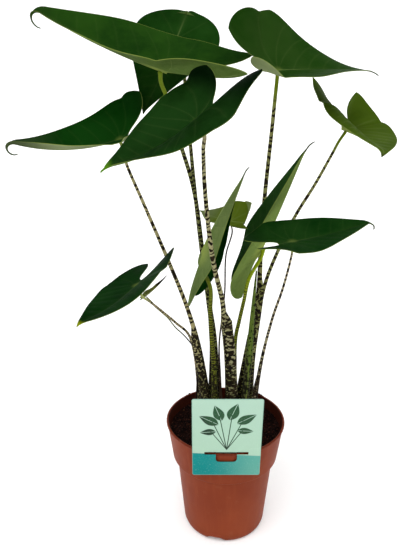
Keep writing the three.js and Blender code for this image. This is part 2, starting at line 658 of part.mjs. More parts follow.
// A tapering stem along a smooth curve. What sheathAt gives is added to the radius towards one side.
function sweepStem(curve, steps, radiusAt, sheathAt, sheathSide, grow) {
  const positions = [];
  const index = [];
  const level = new THREE.Vector3(1, 0, 0);
  const side = rad(sheathSide);
  for (let i = 0; i <= steps; i++) {
    const t = i / steps;
    const centre = curve.getPoint(t);
    const along = curve.getTangent(t);
    const first = level.clone().addScaledVector(along, -level.dot(along)).normalize();
    const second = new THREE.Vector3().crossVectors(along, first);
    const radius = radiusAt(t, centre) + grow;
    const out = sheathAt(centre.z);
    for (let j = 0; j < STALK_SIDES; j++) {
      const angle = 2 * Math.PI * (j + 0.5) / STALK_SIDES;
      const reach = radius + out * Math.max(0, Math.cos(angle - side)) ** 2;
      const point = centre.clone()
        .addScaledVector(first, reach * Math.cos(angle))
        .addScaledVector(second, reach * Math.sin(angle));
      positions.push(point.x, point.y, point.z);
    }
  }
  for (let i = 0; i < steps; i++) {
    for (let j = 0; j < STALK_SIDES; j++) {
      const a = i * STALK_SIDES + j;
      const b = i * STALK_SIDES + (j + 1) % STALK_SIDES;
      index.push(a, b, b + STALK_SIDES, a, b + STALK_SIDES, a + STALK_SIDES);
    }
  }
  for (const [ring, order] of [[0, 1], [steps, -1]]) {
    const start = ring * STALK_SIDES;
    for (let j = 1; j < STALK_SIDES - 1; j++) {
      if (order === 1) index.push(start, start + j + 1, start + j);
      else index.push(start, start + j, start + j + 1);
    }
  }
  const geometry = new THREE.BufferGeometry();
  geometry.setAttribute('position', new THREE.Float32BufferAttribute(positions, 3));
  geometry.setIndex(index);
  return geometry;
}

// The stalk meets its blade under the hub, or at the notch between the lobes where the blade stands upright.
function stalkEnd(leaf, before, [below, along]) {
  const { ahead, up } = leafAxes(leaf);
  const inward = leaf.atNotch ? ahead : up;
  const clear = leaf.atNotch ? leaf.join + NOTCH_GAP : BLADE_THICKNESS + RIB_DEPTH + HUB_GAP;
  const end = new THREE.Vector3(...leaf.hub).addScaledVector(inward, -clear);
  const comingFrom = new THREE.Vector3(...before).sub(end).normalize();
  const lead = end.clone()
    .addScaledVector(inward, -below * HUB_LEAD)
    .addScaledVector(comingFrom, along * HUB_LEAD);
  return [lead, end];
}

function stemCurve(stem, ending, grow) {
  const soilLevel = POT_HEIGHT - SOIL_BELOW_RIM;
  const [x, y] = stem.base;
  const points = [
    new THREE.Vector3(x, y, soilLevel - STALK_SINK - grow),
    new THREE.Vector3(x, y, soilLevel + STRAIGHT_ABOVE_SOIL),
    ...stem.path.map((place) => new THREE.Vector3(...place)),
    ...ending,
  ];
  return new THREE.CatmullRomCurve3(points, false, 'centripetal');
}

function stemGeometry(name, grow) {
  const stem = name === 'spear' ? SPEAR : STALKS[name];
  const ending = name === 'spear' ? [] : stalkEnd(LEAVES[name], stem.path.at(-1), stem.lead ?? USUAL_LEAD);
  const curve = stemCurve(stem, ending, grow);
  const [top, middle, base] = stem.radii;
  const radiusAt = (t, centre) => {
    const low = POT_HEIGHT - SOIL_BELOW_RIM;
    const reach = (stem.path.at(-1)[2] - low);
    const share = THREE.MathUtils.clamp((centre.z - low) / reach, 0, 1);
    return share < 0.5 ? base + (middle - base) * share * 2 : middle + (top - middle) * (share - 0.5) * 2;
  };
  const sheathAt = (height) => (stem.sheath
    ? stem.sheath.out * THREE.MathUtils.clamp((stem.sheath.top - height) / SHEATH_RUN_OUT, 0, 1)
    : 0);
  return sweepStem(curve, STALK_STEPS, radiusAt, sheathAt, stem.sheath?.side ?? 0, grow);
}

function material(colour, roughness) {
  return new THREE.MeshStandardMaterial({ color: colour, roughness, metalness: 0, flatShading: true });
}

const plant = new THREE.Group();
plant.name = 'potted_zebrina_alocasia';

function addPiece(name, geometry, colour, roughness) {
  const mesh = new THREE.Mesh(geometry, material(colour, roughness));
  mesh.name = name;
  plant.add(mesh);
}

addPiece('pot', potGeometry(), COLOURS.terracotta, 0.5);
addPiece('label_card', cardGeometry(), COLOURS.card, 0.5);
const stemNames = [...Object.keys(STALKS), 'spear'];
addPiece('soil', soilGeometry(stemNames.map((name) => stemGeometry(name, GAP))), COLOURS.soil, 0.95);
for (const name of Object.keys(STALKS)) {
  addPiece(`${name}_stalk`, stemGeometry(name, 0), COLOURS.stalkCream, 0.5);
}
addPiece('spear', stemGeometry('spear', 0), COLOURS.youngGreen, 0.5);
for (const [name, leaf] of Object.entries(LEAVES)) {
  addPiece(`${name}_blade`, bladeGeometry(leaf), COLOURS.leafGreen, 0.45);
}

export default plant;
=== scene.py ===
import math

import bmesh
import bpy
import numpy as np
from mathutils import Matrix, Vector, noise


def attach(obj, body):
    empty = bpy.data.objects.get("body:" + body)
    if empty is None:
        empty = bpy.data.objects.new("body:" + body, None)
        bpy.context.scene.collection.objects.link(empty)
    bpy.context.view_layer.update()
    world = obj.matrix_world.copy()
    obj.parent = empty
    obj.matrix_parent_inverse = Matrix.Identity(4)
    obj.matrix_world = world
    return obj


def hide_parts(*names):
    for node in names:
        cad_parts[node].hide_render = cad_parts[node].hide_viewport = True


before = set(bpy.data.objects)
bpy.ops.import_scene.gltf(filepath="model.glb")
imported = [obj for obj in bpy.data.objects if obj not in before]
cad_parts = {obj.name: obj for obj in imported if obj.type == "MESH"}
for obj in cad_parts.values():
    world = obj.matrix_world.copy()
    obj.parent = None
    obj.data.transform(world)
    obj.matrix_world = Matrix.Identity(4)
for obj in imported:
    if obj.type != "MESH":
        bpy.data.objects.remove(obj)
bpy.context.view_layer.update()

# The plant's own sizes are given in millimetres and degrees and turned to metres where a mesh is made.
MM = 0.001
rad = math.radians

# Camera: its place in metres, how far it looks down, and its focal length against the photograph's height
CAMERA_PLACE = (-0.0367, -0.746, 0.665)
CAMERA_DOWN = 19.9
SENSOR = 36
FOCAL_PIXELS = 600
PHOTO_HEIGHT_PIXELS = 546

# Floor and round backdrop, in metres
FLOOR_DROP = -0.0002
FLOOR_MIDDLE = 1.0
FLOOR_REACH = 2.2
BACKDROP_CURVE = 1.2
BACKDROP_TOP = 2.4
BACKDROP_SIDES = 96

# Light: the world's and the floor's strength, then each lamp's bearing and height in degrees, its strength
# and how many degrees broad it is
AMBIENT = 0.41
FLOOR_GLOW = 0.1
LAMPS = (("key", (-35, 55), 1.5, 50), ("fill", (40, 40), 0.8, 70), ("top", (0, 90), 0.8, 90))

# Pot
POT_HEIGHT = 172
RIM_RADIUS = 85
WALL = 2
RIM_LIP = 3
RIM_OVERHANG = 1.6
RIM_STEP = 0.3
COLLAR_FOOT = 115
COLLAR_FOOT_RADIUS = 76
COLLAR_BEVEL = (1, 1.5)
WALL_TOP_RADIUS = 70
WALL_FOOT_RADIUS = 60
FOOT_ROUNDING = 8
FOOT_RING_INNER = 47
FOOT_RING_FLARE = 1
FLOOR_LIFT = 8
INNER_STEP = 1
INNER_CORNER = 3
PAD_RADIUS = 27
PAD_FLARE = 4
PAD_WALL = 1.3
MOULD_ROUNDING = 1.3
LATHE_SIDES = 176
SHARP_POT_EDGE = 35
POT_SHEEN = 0.05
DRAIN_HOLES = 6
DRAIN_HOLE_RADIUS = 4
DRAIN_HOLE_SIDES = 24
NOTCHES = 3
NOTCH_WIDTH = 34
NOTCH_HEIGHT = 8.5
NOTCH_FLARE = 9
NOTCH_ROUNDING = 3
NOTCH_START_RADIUS = 41
NOTCH_DEPTH = 30
FIRST_NOTCH_ANGLE = -104

# Soil: its lumps and grit are each a height and how many there are in a millimetre; EDGE_LUMPS is the share
# of them that is left at the wall
SOIL_LEVEL = 159
SOIL_EDGE_RADIUS = 79.2
SOIL_MOUND = 4
SOIL_CLEARANCE = 0.5
SOIL_SIDES = 128
SOIL_RINGS = 44
LUMPS = (3.2, 0.06)
GRIT = (1.1, 0.32)
EDGE_LUMPS = 0.3
SOIL_SHEEN = 0.05

# Crumbs and fibres on the peat, in metres where a length is given
CRUMBS_PER_AREA = 200000.0
CRUMB_RADIUS = 0.0013
CRUMB_DENTS = 700.0
FIBRES_PER_AREA = 42000.0
FIBRE_RADIUS = 0.00028
FIBRE_LENGTH = 0.010
PEAT_SEED = 5

# Bearing in degrees and size of each crumb on the rim
RIM_CRUMBS = (
    (44, 0.9), (46, 1.3), (47.2, 0.8), (48.5, 1.6), (50, 1.1), (51, 1.5), (52.4, 0.8), (54, 1.2),
    (57, 0.7), (62, 0.6), (126, 0.8), (129, 1.3), (130.6, 0.9), (133, 0.7), (118, 0.6), (20, 0.6),
    (158, 0.7), (176, 0.6), (-12, 0.6))

# Card
CARD_WIDTH = 90
CARD_HEIGHT = 130
CARD_THICKNESS = 0.8
CARD_LOW_EDGE = 136
CARD_LEAN = 8.5
CARD_CORNER = 3
CARD_SIDE_SHIFT = -2
SLOT_WIDTH = 58
SLOT_HEIGHT = 5
TONGUE_WIDTH = 28
TONGUE_LENGTH = 13
TONGUE_CORNER = 5
TONGUE_BELOW_RIM = 9
TONGUE_INSIDE_RIM = 3.5
RIM_GAP = 0.3
CARD_SHEEN = 0.04

# The card's print, from the middle of its lower edge: the plain border's width, the place whose colour the
# tongue has, as shares of the card, the top of the teal foot, where the stems start, and each drawn leaf's
# place, bearing, half length and half width
CARD_BORDER = 0.9
PLAIN_GROUND = (0.5, 0.9)
TEAL_TOP = 37.6
STEM_START = 46.0
DRAWN_LEAVES = (
    (-24.0, 96.0, 150.0, 15.0, 6.0), (-12.0, 108.0, 110.0, 14.0, 6.0), (8.0, 110.0, 70.0, 15.0, 6.5),
    (25.0, 98.0, 32.0, 15.0, 6.0), (-25.0, 76.0, 185.0, 11.0, 4.6), (24.0, 78.0, -4.0, 11.0, 4.6))

# Leaf blades
BLADE_THICKNESS = 0.8
RIB_DEPTH = 1.4
RIB_REACH = 1.7
RIB_THIN_OUT = 1.3
FULL_RIB_WIDTH = 30
SHARP_BLADE_EDGE = 60
JOIN_SHARE = 0.18
CURL_START = 0.86
SPINE_STEPS = 40
LOBE_ROWS = 22
JOIN_ROWS = 6
FORWARD_ROWS = 54
TAIL_ROWS = 14
TAIL_HALF_WIDTH = 1.2
BLADE_COLUMNS = 18
VEINS_AHEAD = 6.5
VEIN_LEAN = 0.42
COSTA_NUMBER = 3
LEAF_SHEEN = 0.002

# The quilted skin between the veins, and how far from an edge, the midrib and the next vein it is full
QUILT = 0.14
QUILT_FROM_EDGE = 8
QUILT_FROM_MIDRIB = 6
QUILT_FROM_VEIN = 10

# Leaf pattern: how far a vein's line reaches to each side, how much further the two main lobe veins' lines
# reach, how many times wider a vein's halo is, and the share of the lobes over which painted shade darkens
# their ends
VEIN_REACH = 0.45
MAIN_VEIN_EXTRA = 0.4
VEIN_HALO = 6
SHADED_LOBE_ENDS = (0.2, 0.75)

# Stalks: a sheath that stands out further than BROAD_SHEATH is blotched like a stalk's foot
STALK_SINK = 22
STALK_SIDES = 24
STALK_STEPS = 150
STRAIGHT_ABOVE_SOIL = 10
SHEATH_RUN_OUT = 18
BROAD_SHEATH = 2
HUB_LEAD = 12
USUAL_LEAD = (0.8, 0.4)
HUB_GAP = 0.9
NOTCH_GAP = 5

# How much a stalk swells toward the soil and toward its blade and over what length, and how its very end
# tapers
BASE_FLARE = 0.3
BASE_FLARE_REACH = 20
TOP_FLARE = 0.35
TOP_FLARE_REACH = 3.0
TOP_TAPER = 2.4
TOP_END = 0.5

# Stalk pattern: how gently the plain and the blade-coloured ends begin, as a share of their lengths, how
# far the bands wander, the heights above the soil where blotches take their place and where the brown of
# the soil end begins and is full, and where the spear stays green and how far brown spreads over it
STALK_SHEEN = 0.04
PLAIN_RAMP = 1.3
BLADE_END_RAMP = 1.5
SWIRL = 2.2
PATCH_SWIRL = 1.4
STOUT_TOP = 130
STOUT_RUN_OUT = 40
STALK_BROWN = (120, 50)
SPEAR_BROWN = (165, 70)
SPEAR_FACE = 0.6
SPEAR_BROWN_SPREAD = 2.2

# Each leaf's hub, where its stalk meets it, its directions and its form. A pair is its left and its right
# half, seen from the hub toward the tip; lobe, spread and join give the two lobes behind the hub, and fold,
# tip_fold and lobe_fold how steeply the halves rise from the midrib.
LEAVES = {
    "front_leaf": dict(
        hub=(-41, -105, 601), yaw=-168, pitch=-38, roll=2,
        length=111, width=72, lobe=(75, 70), spread=(45, 38), join=24,
        droop=-31, curl=30, sweep=2, twist=-5, lift=(9, -48),
        fold=(25, 23), tip_fold=(19, 41), lobe_fold=(30, 33), cup=(-59, 6),
        wave=2, ripples=3, phase=0.4, tail=3, hook=10),
    "left_leaf": dict(
        hub=(-137, 14, 567), yaw=179, pitch=-16, roll=-9,
        length=151, width=62, lobe=(18, 62), spread=(24, 45), join=11,
        droop=-36, curl=147, sweep=-1, twist=4, lift=(0, -36),
        fold=(7, 32), tip_fold=(38, 21), lobe_fold=(14, 46), cup=(5, 7),
        wave=2, ripples=2.5, phase=1.2, tail=13, hook=80),
    "top_left_leaf": dict(
        hub=(-84, 17, 649), yaw=170, pitch=19, roll=-14,
        length=182, width=73, lobe=(106, 106), spread=(61, 61), join=8,
        droop=-13, curl=142, sweep=-1, twist=-3, lift=(-1, -20),
        fold=(23, 26), tip_fold=(21, 35), lobe_fold=(45, 29), cup=(2, -12),
        wave=2, ripples=3, phase=2.1, tail=14, hook=60),
    "back_leaf": dict(
        hub=(-68, 92, 684), yaw=-130, pitch=-57, roll=-3,
        length=106, width=62, lobe=(43, 43), spread=(2, 2), join=42.5,
        droop=4, curl=13, sweep=-12, twist=-1, lift=(-20, -20),
        fold=(-15, 20), tip_fold=(16, 17), lobe_fold=(0, 18), cup=(6, 4),
        wave=2, ripples=3, phase=3.0),
    "top_right_leaf": dict(
        hub=(55, -1, 649), yaw=7, pitch=2, roll=21,
        length=120, width=81, lobe=(60, 60), spread=(47, 47), join=13,
        droop=6, curl=18, sweep=2, twist=-5, lift=(-5, -41),
        fold=(31, 17), tip_fold=(-17, 16), lobe_fold=(54, 30), cup=(8, -1),
        wave=2, ripples=3, phase=0.9, tail=9, hook=15),
    "right_leaf": dict(
        hub=(146, 17, 578), yaw=-70, pitch=-6, roll=-35,
        length=111, width=56, lobe=(80, 80), spread=(53, 53), join=10,
        droop=13, curl=71, sweep=-16, twist=7, lift=(-16, -24),
        fold=(37, 46), tip_fold=(19, -10), lobe_fold=(63, 64), cup=(7, -79),
        wave=1, ripples=3, phase=1.7),
    "low_right_leaf": dict(
        hub=(70, -84, 464), yaw=19, pitch=4, roll=3,
        length=108, width=47, lobe=(50, 54), spread=(22, 22), join=17,
        droop=-10, curl=50, sweep=0, twist=4, lift=(-7, -4),
        fold=(11, 9), tip_fold=(24, 16), lobe_fold=(1, 20), cup=(2, -7),
        wave=1.5, ripples=2.5, phase=2.6, tail=8, hook=70),
    "low_left_leaf": dict(
        hub=(-116, -52, 398), yaw=-117, pitch=-12, roll=17,
        length=114, width=47, lobe=(66, 66), spread=(26, 26), join=13,
        droop=-19, curl=30, sweep=-1, twist=-7, lift=(-5, 14),
        fold=(19, 2), tip_fold=(-3, 19), lobe_fold=(27, 7), cup=(-4, 3),
        wave=1.5, ripples=2.5, phase=0.2),
    "inner_left_leaf": dict(
        hub=(-32, 10, 424), yaw=-32, pitch=65, roll=-163, at_notch=True,
        length=122, width=40, lobe=(79, 79), spread=(23, 23), join=4,
        droop=-9, curl=10, sweep=0, twist=1, lift=(-7, 4),
        fold=(29, 31), tip_fold=(31, 13), lobe_fold=(24, 51), cup=(6, 5),
        wave=1, ripples=2, phase=1.1, tail=9, hook=-30),
    "inner_right_leaf": dict(
        hub=(44, 9, 426), yaw=-49, pitch=64, roll=41,
        length=155, width=53, lobe=(79, 79), spread=(12, 12), join=12,
        droop=-2, curl=13, sweep=0, twist=1, lift=(-26, 14),
        fold=(23, 26), tip_fold=(15, 22), lobe_fold=(17, 30), cup=(7, 2),
        wave=1, ripples=2, phase=2.2, tail=11, hook=30),
    "small_back_leaf": dict(
        hub=(5, 71, 447), yaw=132, pitch=-5, roll=-24,
        length=60, width=30, lobe=(47, 41), spread=(15, 31), join=28,
        droop=-21, curl=20, sweep=-5, twist=3, lift=(11, -26),
        fold=(26, 28), tip_fold=(19, 12), lobe_fold=(20, 54), cup=(6, 11),
        wave=1, ripples=2, phase=0.7, tail=3, hook=10),
    "withered_leaf": dict(
        hub=(-110, 3, 361), yaw=0, pitch=40, roll=10,
        length=42, width=5.5, lobe=(9, 9), spread=(4, 4), join=4,
        droop=-14, curl=10, sweep=0, twist=20, lift=(0, 0),
        fold=(30, 30), tip_fold=(10, 35), lobe_fold=(30, 30), cup=(20, 20),
        wave=1, ripples=4, phase=0.5),
}

# Each stalk's foot on the soil, its places above it and its radii from the top to the foot. A sheath has
# its top's height, how far it stands out and its bearing, and lead how far below the blade and back along
# the stalk its last bend lies, as shares of HUB_LEAD. plain is the length of unbanded green below the
# blade, dark how much of the stalk the bands cover, and blade_end the length at the top that takes the
# colour of the blade's underside.
STALKS = {
    "front_leaf": dict(
        base=(5, -6),
        path=((1, -11, 272), (-5, -18, 330), (-7, -28, 362), (-21, -48, 430), (-31, -68, 520),
              (-33, -84, 569)),
        radii=(2.3, 3.3, 5.5), sheath=(350, 8, 0), plain=30, dark=0.54),
    "left_leaf": dict(
        base=(-23, -4),
        path=((-38, -9, 287), (-54, -14, 352), (-76, -8, 410), (-106, 2, 482), (-130, 10, 540)),
        radii=(1.9, 2.8, 6), sheath=(322, 4.5, 180), plain=20, dark=0.58),
    "top_left_leaf": dict(
        base=(-13, 7),
        path=((-17, 15, 290), (-24, 40, 335), (-31, 56, 387), (-45, 52, 495), (-65, 30, 570), (-76, 22, 613)),
        radii=(2.5, 3.2, 5.8), sheath=(250, 3, 0), lead=(0.4, 0.6), plain=70, dark=0.62),
    "back_leaf": dict(
        base=(-20, 18),
        path=((-19, 28, 285), (-24, 53, 334), (-32, 69, 386), (-44, 80, 489), (-56, 100, 618)),
        radii=(2.3, 3.2, 5.6), sheath=(250, 2, 90), plain=60, dark=0.62),
    "top_right_leaf": dict(
        base=(30, 10),
        path=((33, 13, 262), (40, 25, 313), (46, 38, 356), (48, 51, 406), (50, 50, 476), (53, 16, 584),
              (54, 4, 624)),
        radii=(2.3, 3.3, 6), sheath=(372, 4, 0), plain=45, dark=0.52),
    "right_leaf": dict(
        base=(24, 25),
        path=((46, 46, 307), (57, 53, 363), (74, 50, 415), (93, 40, 465), (114, 34, 506), (133, 25, 550)),
        radii=(1.8, 2.7, 5.2), sheath=(300, 6, 180), plain=35, dark=0.5),
    "low_right_leaf": dict(
        base=(39, -4),
        path=((47, -9, 262), (58, -28, 342), (67, -46, 391), (72, -64, 435)),
        radii=(1.4, 2, 4.1), sheath=(245, 1.5, 180), lead=(0.4, 0.6), plain=15, dark=0.62),
    "low_left_leaf": dict(
        base=(-36, 13),
        path=((-51, 14, 295), (-70, 4, 321), (-86, -10, 343), (-101, -34, 368)),
        radii=(1.5, 1.9, 3.5), sheath=(215, 1.5, 90), plain=40, dark=0.36),
    "inner_left_leaf": dict(
        base=(-15, -13),
        path=((-18, -13, 272), (-21, -12, 305), (-23, -8, 340), (-23, 0, 375)),
        radii=(2.6, 3.5, 5.8), sheath=(260, 2.5, 250), lead=(0.7, 0.35), plain=90, dark=0.5, blade_end=40),
    "inner_right_leaf": dict(
        base=(13, 15),
        path=((13, 12, 293), (17, 5, 323), (22, -3, 356), (28, -7, 390)),
        radii=(2.4, 2.8, 4.8), sheath=(280, 3, 270), lead=(0.15, 0.8), plain=70, dark=0.4),
    "small_back_leaf": dict(
        base=(-6, -16),
        path=((-9, -12, 245), (-10, 3, 290), (-6, 19, 322), (-2, 36, 355), (0, 57, 402)),
        radii=(1.1, 1.2, 3.2), sheath=(262, 1, 270), plain=10, dark=0.75),
    "withered_leaf": dict(
        base=(-43, 3),
        path=((-43, 10, 273), (-56, 9, 296), (-71, 9, 312), (-81, 9, 326), (-99, 7, 345)),
        radii=(0.8, 1, 1.6), sheath=(200, 0.8, 180), plain=0, dark=0.3),
    "spear": dict(
        base=(25, -9),
        path=((29, -9, 240), (32, -8, 300), (35, -4, 356), (38, 1, 398)),
        radii=(1, 5, 5.2), sheath=(0, 0, 0), plain=400, dark=0),
}

# Each leaf's greens: upper side deep and light, underside, the tip's colour and reach in mm, how pale its
# rim is, how dark the painted shade on its lobes' ends is and how strongly its veins show.
LEAF_TONES = {
    "front_leaf": ("0a2206", "15320f", "536b34", "4c7a14", 15, 0.2, 0.9, 1.6),
    "left_leaf": ("032803", "0d350a", "7c8560", "26361e", 80, 0.5, 0.3, 1.2),
    "top_left_leaf": ("12300a", "20400f", "50662e", "1c3410", 40, 0.5, 0.2, 1.3),
    "back_leaf": ("0a2a06", "1a3c10", "3c5226", "1c2c10", 10, 0.0, 0.2, 1.3),
    "top_right_leaf": ("153408", "223c12", "7a865c", "1a2012", 10, 0.2, 0.0, 2.0),
    "right_leaf": ("34480a", "405414", "747e58", "323c14", 8, 0.25, 0.1, 6.0),
    "low_right_leaf": ("082a08", "173610", "586c34", "262e14", 8, 0.15, 0.3, 1.0),
    "low_left_leaf": ("022003", "0a2e08", "60723a", "7c860c", 13, 0.15, 0.3, 0.8),
    "inner_left_leaf": ("032a03", "0a360a", "697a46", "262e16", 12, 0.2, 0.3, 1.0),
    "inner_right_leaf": ("14300e", "1e4014", "667a3c", "1c1c18", 10, 0.2, 0.3, 1.5),
    # The small back leaf's light yellow-green upper side is partly its own colour and partly painted light
    # that stands in for light shining through the leaf
    "small_back_leaf": ("4e6212", "5c6e20", "707e50", "6c7a50", 44, 0.1, 0.0, 4.0),
}

# Each stalk's ground low down and near the blade, its bands, the step from band to band and a blotch's
# width in mm.
STALK_TONES = {
    "front_leaf": ("949068", "91896a", "0f0c08", 7.0, 4.4),
    "left_leaf": ("988e66", "7b8244", "100d09", 8.0, 5.0),
    "top_left_leaf": ("737448", "6c8022", "0e0c08", 6.4, 4.0),
    "back_leaf": ("6a6c42", "687030", "0e0c08", 6.2, 4.0),
    "top_right_leaf": ("7c7b4e", "667616", "0e0c08", 8.4, 4.6),
    "right_leaf": ("7f7e50", "647416", "100d09", 7.6, 4.6),
    "low_right_leaf": ("948870", "84904e", "100c09", 8.6, 9.0),
    "low_left_leaf": ("a0906e", "98a060", "1e1810", 5.0, 3.6),
    "inner_left_leaf": ("646820", "707c22", "14160a", 3.6, 7.0),
    "inner_right_leaf": ("707824", "86981a", "262e08", 3.6, 6.0),
    "small_back_leaf": ("4a3834", "54443a", "1a100c", 6.0, 3.4),
}


def colour(code):
    """A colour written as six hex digits, as the four linear numbers that a shader takes."""
    parts = [int(code[i:i + 2], 16) / 255 for i in (0, 2, 4)]
    return tuple(c / 12.92 if c <= 0.04045 else ((c + 0.055) / 1.055) ** 2.4 for c in parts) + (1.0,)


def clamp(x):
    """A number kept between 0 and 1."""
    return min(1, max(0, x))


class Wire:
    """A socket of a node tree. Arithmetic on it adds Math nodes."""

    def __init__(self, tree, socket):
        self.tree = tree
        self.socket = socket

    def math(self, operation, *others):
        return self.tree.node("ShaderNodeMath", {"operation": operation}, dict(enumerate((self,) + others)))

    def other(self, name):
        """Another output of the same node."""
        return Wire(self.tree, self.socket.node.outputs[name])

    def __add__(self, x):
        return self.math("ADD", x)

    __radd__ = __add__

    def __mul__(self, x):
        return self.math("MULTIPLY", x)

    __rmul__ = __mul__

    def __sub__(self, x):
        return self.math("SUBTRACT", x)

    def __rsub__(self, x):
        return self.tree.node("ShaderNodeMath", {"operation": "SUBTRACT"}, {0: x, 1: self})

    def __truediv__(self, x):
        return self.math("DIVIDE", x)

    def __rtruediv__(self, x):
        return self.tree.node("ShaderNodeMath", {"operation": "DIVIDE"}, {0: x, 1: self})

    def __abs__(self):
        return self.math("ABSOLUTE")

    def above(self, x):
        """This value, or x where that is greater."""
        return self.math("MAXIMUM", x)

    def below(self, x):
        """This value, or x where that is smaller."""
        return self.math("MINIMUM", x)

    def rise(self, low, high):
        """0 below low, 1 above high, and smooth in between; low may be the greater one."""
        sockets = {0: self, 1: min(low, high), 2: max(low, high), 3: 0.0, 4: 1.0}
        if low > high:
            sockets[3], sockets[4] = 1.0, 0.0
        return self.tree.node("ShaderNodeMapRange", {"interpolation_type": "SMOOTHSTEP"}, sockets)

    def rise_mm(self, low, high):
        """The same for a length, with both ends in millimetres."""
        return self.rise(low * MM, high * MM)


class Tree:
    """A node tree, to which nodes are added by one method."""

    def __init__(self, group):
        self.group = group

    def node(self, kind, settings=None, sockets=None):
        made = self.group.nodes.new(kind)
        for name, value in (settings or {}).items():
            setattr(made, name, value)
        for key, value in (sockets or {}).items():
            self.feed(made.inputs[key], value)
        return Wire(self, next((s for s in made.outputs if s.enabled), None))

    def feed(self, socket, value):
        """Gives a socket its value, its link or, where it takes several, its list of links."""
        for part in value if isinstance(value, list) else [value]:
            if isinstance(part, Wire):
                self.group.links.new(part.socket, socket)
            else:
                socket.default_value = part

    def mix(self, factor, a, b):
        """Colour a where factor is 0 and b where it is 1."""
        return self.node("ShaderNodeMix", {"data_type": "RGBA"}, {0: factor, 6: a, 7: b})

    def vector(self, operation, *others):
        return self.node("ShaderNodeVectorMath", {"operation": operation}, dict(enumerate(others)))

    def scaled(self, vector, factor):
        return self.node("ShaderNodeVectorMath", {"operation": "SCALE"}, {0: vector, "Scale": factor})

    def axis(self, vector, name):
        """The X, Y or Z part of a vector."""
        return self.node("ShaderNodeSeparateXYZ", {}, {0: vector}).other(name)


class Growth(Tree):
    """A geometry tree with named inputs."""

    def __init__(self, name, inputs):
        super().__init__(bpy.data.node_groups.new(name, "GeometryNodeTree"))
        for label, kind in inputs.items():
            self.group.interface.new_socket(label, in_out="INPUT", socket_type="NodeSocket" + kind)
        self.group.interface.new_socket("Grown", in_out="OUTPUT", socket_type="NodeSocketGeometry")
        self.start = self.node("NodeGroupInput")

    def carried(self, name, kind="FLOAT"):
        """A value that the points carry."""
        return self.node("GeometryNodeInputNamedAttribute", {"data_type": kind}, {"Name": name})

    def marked(self, geometry, name, vector):
        """The geometry with a vector stored on each of its points."""
        return self.node("GeometryNodeStoreNamedAttribute", {"data_type": "FLOAT_VECTOR", "domain": "POINT"},
                         {"Geometry": geometry, "Name": name, "Value": vector})

    def close(self, geometry, material):
        """Makes everything real, gives it its material and ends the tree."""
        real = self.node("GeometryNodeRealizeInstances", {}, {"Geometry": geometry})
        done = self.node("GeometryNodeSetMaterial", {}, {"Geometry": real, "Material": material})
        self.node("NodeGroupOutput", {}, {0: done})
        return self.group


class Paint(Tree):
    """A material of one Principled shader, whose sockets are set by name."""

    def __init__(self, name):
        self.material = bpy.data.materials.new(name)
        self.material.use_nodes = True
        super().__init__(self.material.node_tree)
        self.shader = self.group.nodes["Principled BSDF"]
        self.place = self.node("ShaderNodeTexCoord").other("Object")

    def set(self, **sockets):
        for name, value in sockets.items():
            self.feed(self.shader.inputs[name.replace("_", " ")], value)
        return self.material

    def attribute(self, name, output="Fac"):
        return self.node("ShaderNodeAttribute", {"attribute_name": name}).other(output)

    def noise(self, scale, detail, place=None, roughness=0.55):
        return self.node("ShaderNodeTexNoise", {}, {
            "Vector": place or self.place, "Scale": scale, "Detail": detail, "Roughness": roughness})

    def drawn(self, scales, detail, place=None, roughness=0.55):
        """Noise with a scale of its own along each axis."""
        return self.noise(1.0, detail, self.vector("MULTIPLY", place or self.place, scales), roughness)

    def bump(self, height, distance, strength):
        return self.node("ShaderNodeBump", {}, {"Height": height, "Distance": distance, "Strength": strength})


def placed(name, data):
    """A new object in the scene, at the origin."""
    made = bpy.data.objects.new(name, data)
    bpy.context.scene.collection.objects.link(made)
    return made


def final_mesh(holder):
    """The plain mesh that an object shows, with its modifiers done."""
    bpy.context.view_layer.update()
    graph = bpy.context.evaluated_depsgraph_get()
    return bpy.data.meshes.new_from_object(holder.evaluated_get(graph), depsgraph=graph)


def piece(name, mesh, material, node, slot_name):
    """Puts a finished mesh into the scene as the piece that stands for a node."""
    mesh.name = name
    mesh.materials.clear()
    mesh.materials.append(material)
    made = placed(name, mesh)
    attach(made, "root")
    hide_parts(node)


def grown(mesh, group, **inputs):
    """The plain mesh that a geometry tree makes from a mesh; inputs are the tree's own named inputs."""
    holder = placed("holder", mesh)
    modifier = holder.modifiers.new("grow", "NODES")
    modifier.node_group = group
    for socket in group.interface.items_tree:
        if socket.in_out == "INPUT" and socket.name in inputs:
            modifier[socket.identifier] = inputs[socket.name]
    made = final_mesh(holder)
    holder.modifiers.clear()
    bpy.data.objects.remove(holder)
    bpy.data.node_groups.remove(group)
    return made


def new_mesh(name, points, faces):
    """A mesh of points in millimetres."""
    mesh = bpy.data.meshes.new(name)
    mesh.from_pydata([tuple(c * MM for c in p) for p in points], [], faces)
    return mesh


def set_values(mesh, name, values):
    """Stores one number on each vertex of a mesh."""
    made = mesh.attributes.new(name, "FLOAT", "POINT")
    made.data.foreach_set("value", np.asarray(values, "f"))


def ring_of(radius, height, sides):
    """Points evenly round the axis."""
    angles = [2 * math.pi * i / sides for i in range(sides)]
    return [(radius * math.cos(a), radius * math.sin(a), height) for a in angles]


def turned_faces(rings, sides, closed=True):
    """Faces of a shape turned from its top down: a point, rings of points and, where closed, a last point."""
    faces = []
    last = 1 + (rings - 1) * sides
    for i in range(sides):
        n = (i + 1) % sides
        faces.append((0, 1 + i, 1 + n))
        for a in range(1, last, sides):
            b = a + sides
            faces.append((a + i, b + i, b + n, a + n))
        if closed:
            faces.append((last + i, last + sides, last + n))
    return faces


# Leaf blades

def bezier(a, b, c, d, t):
    """The cubic curve with these four controls, at t."""
    s = 1 - t
    return a * s ** 3 + 3 * b * t * s ** 2 + 3 * c * t ** 2 * s + d * t ** 3


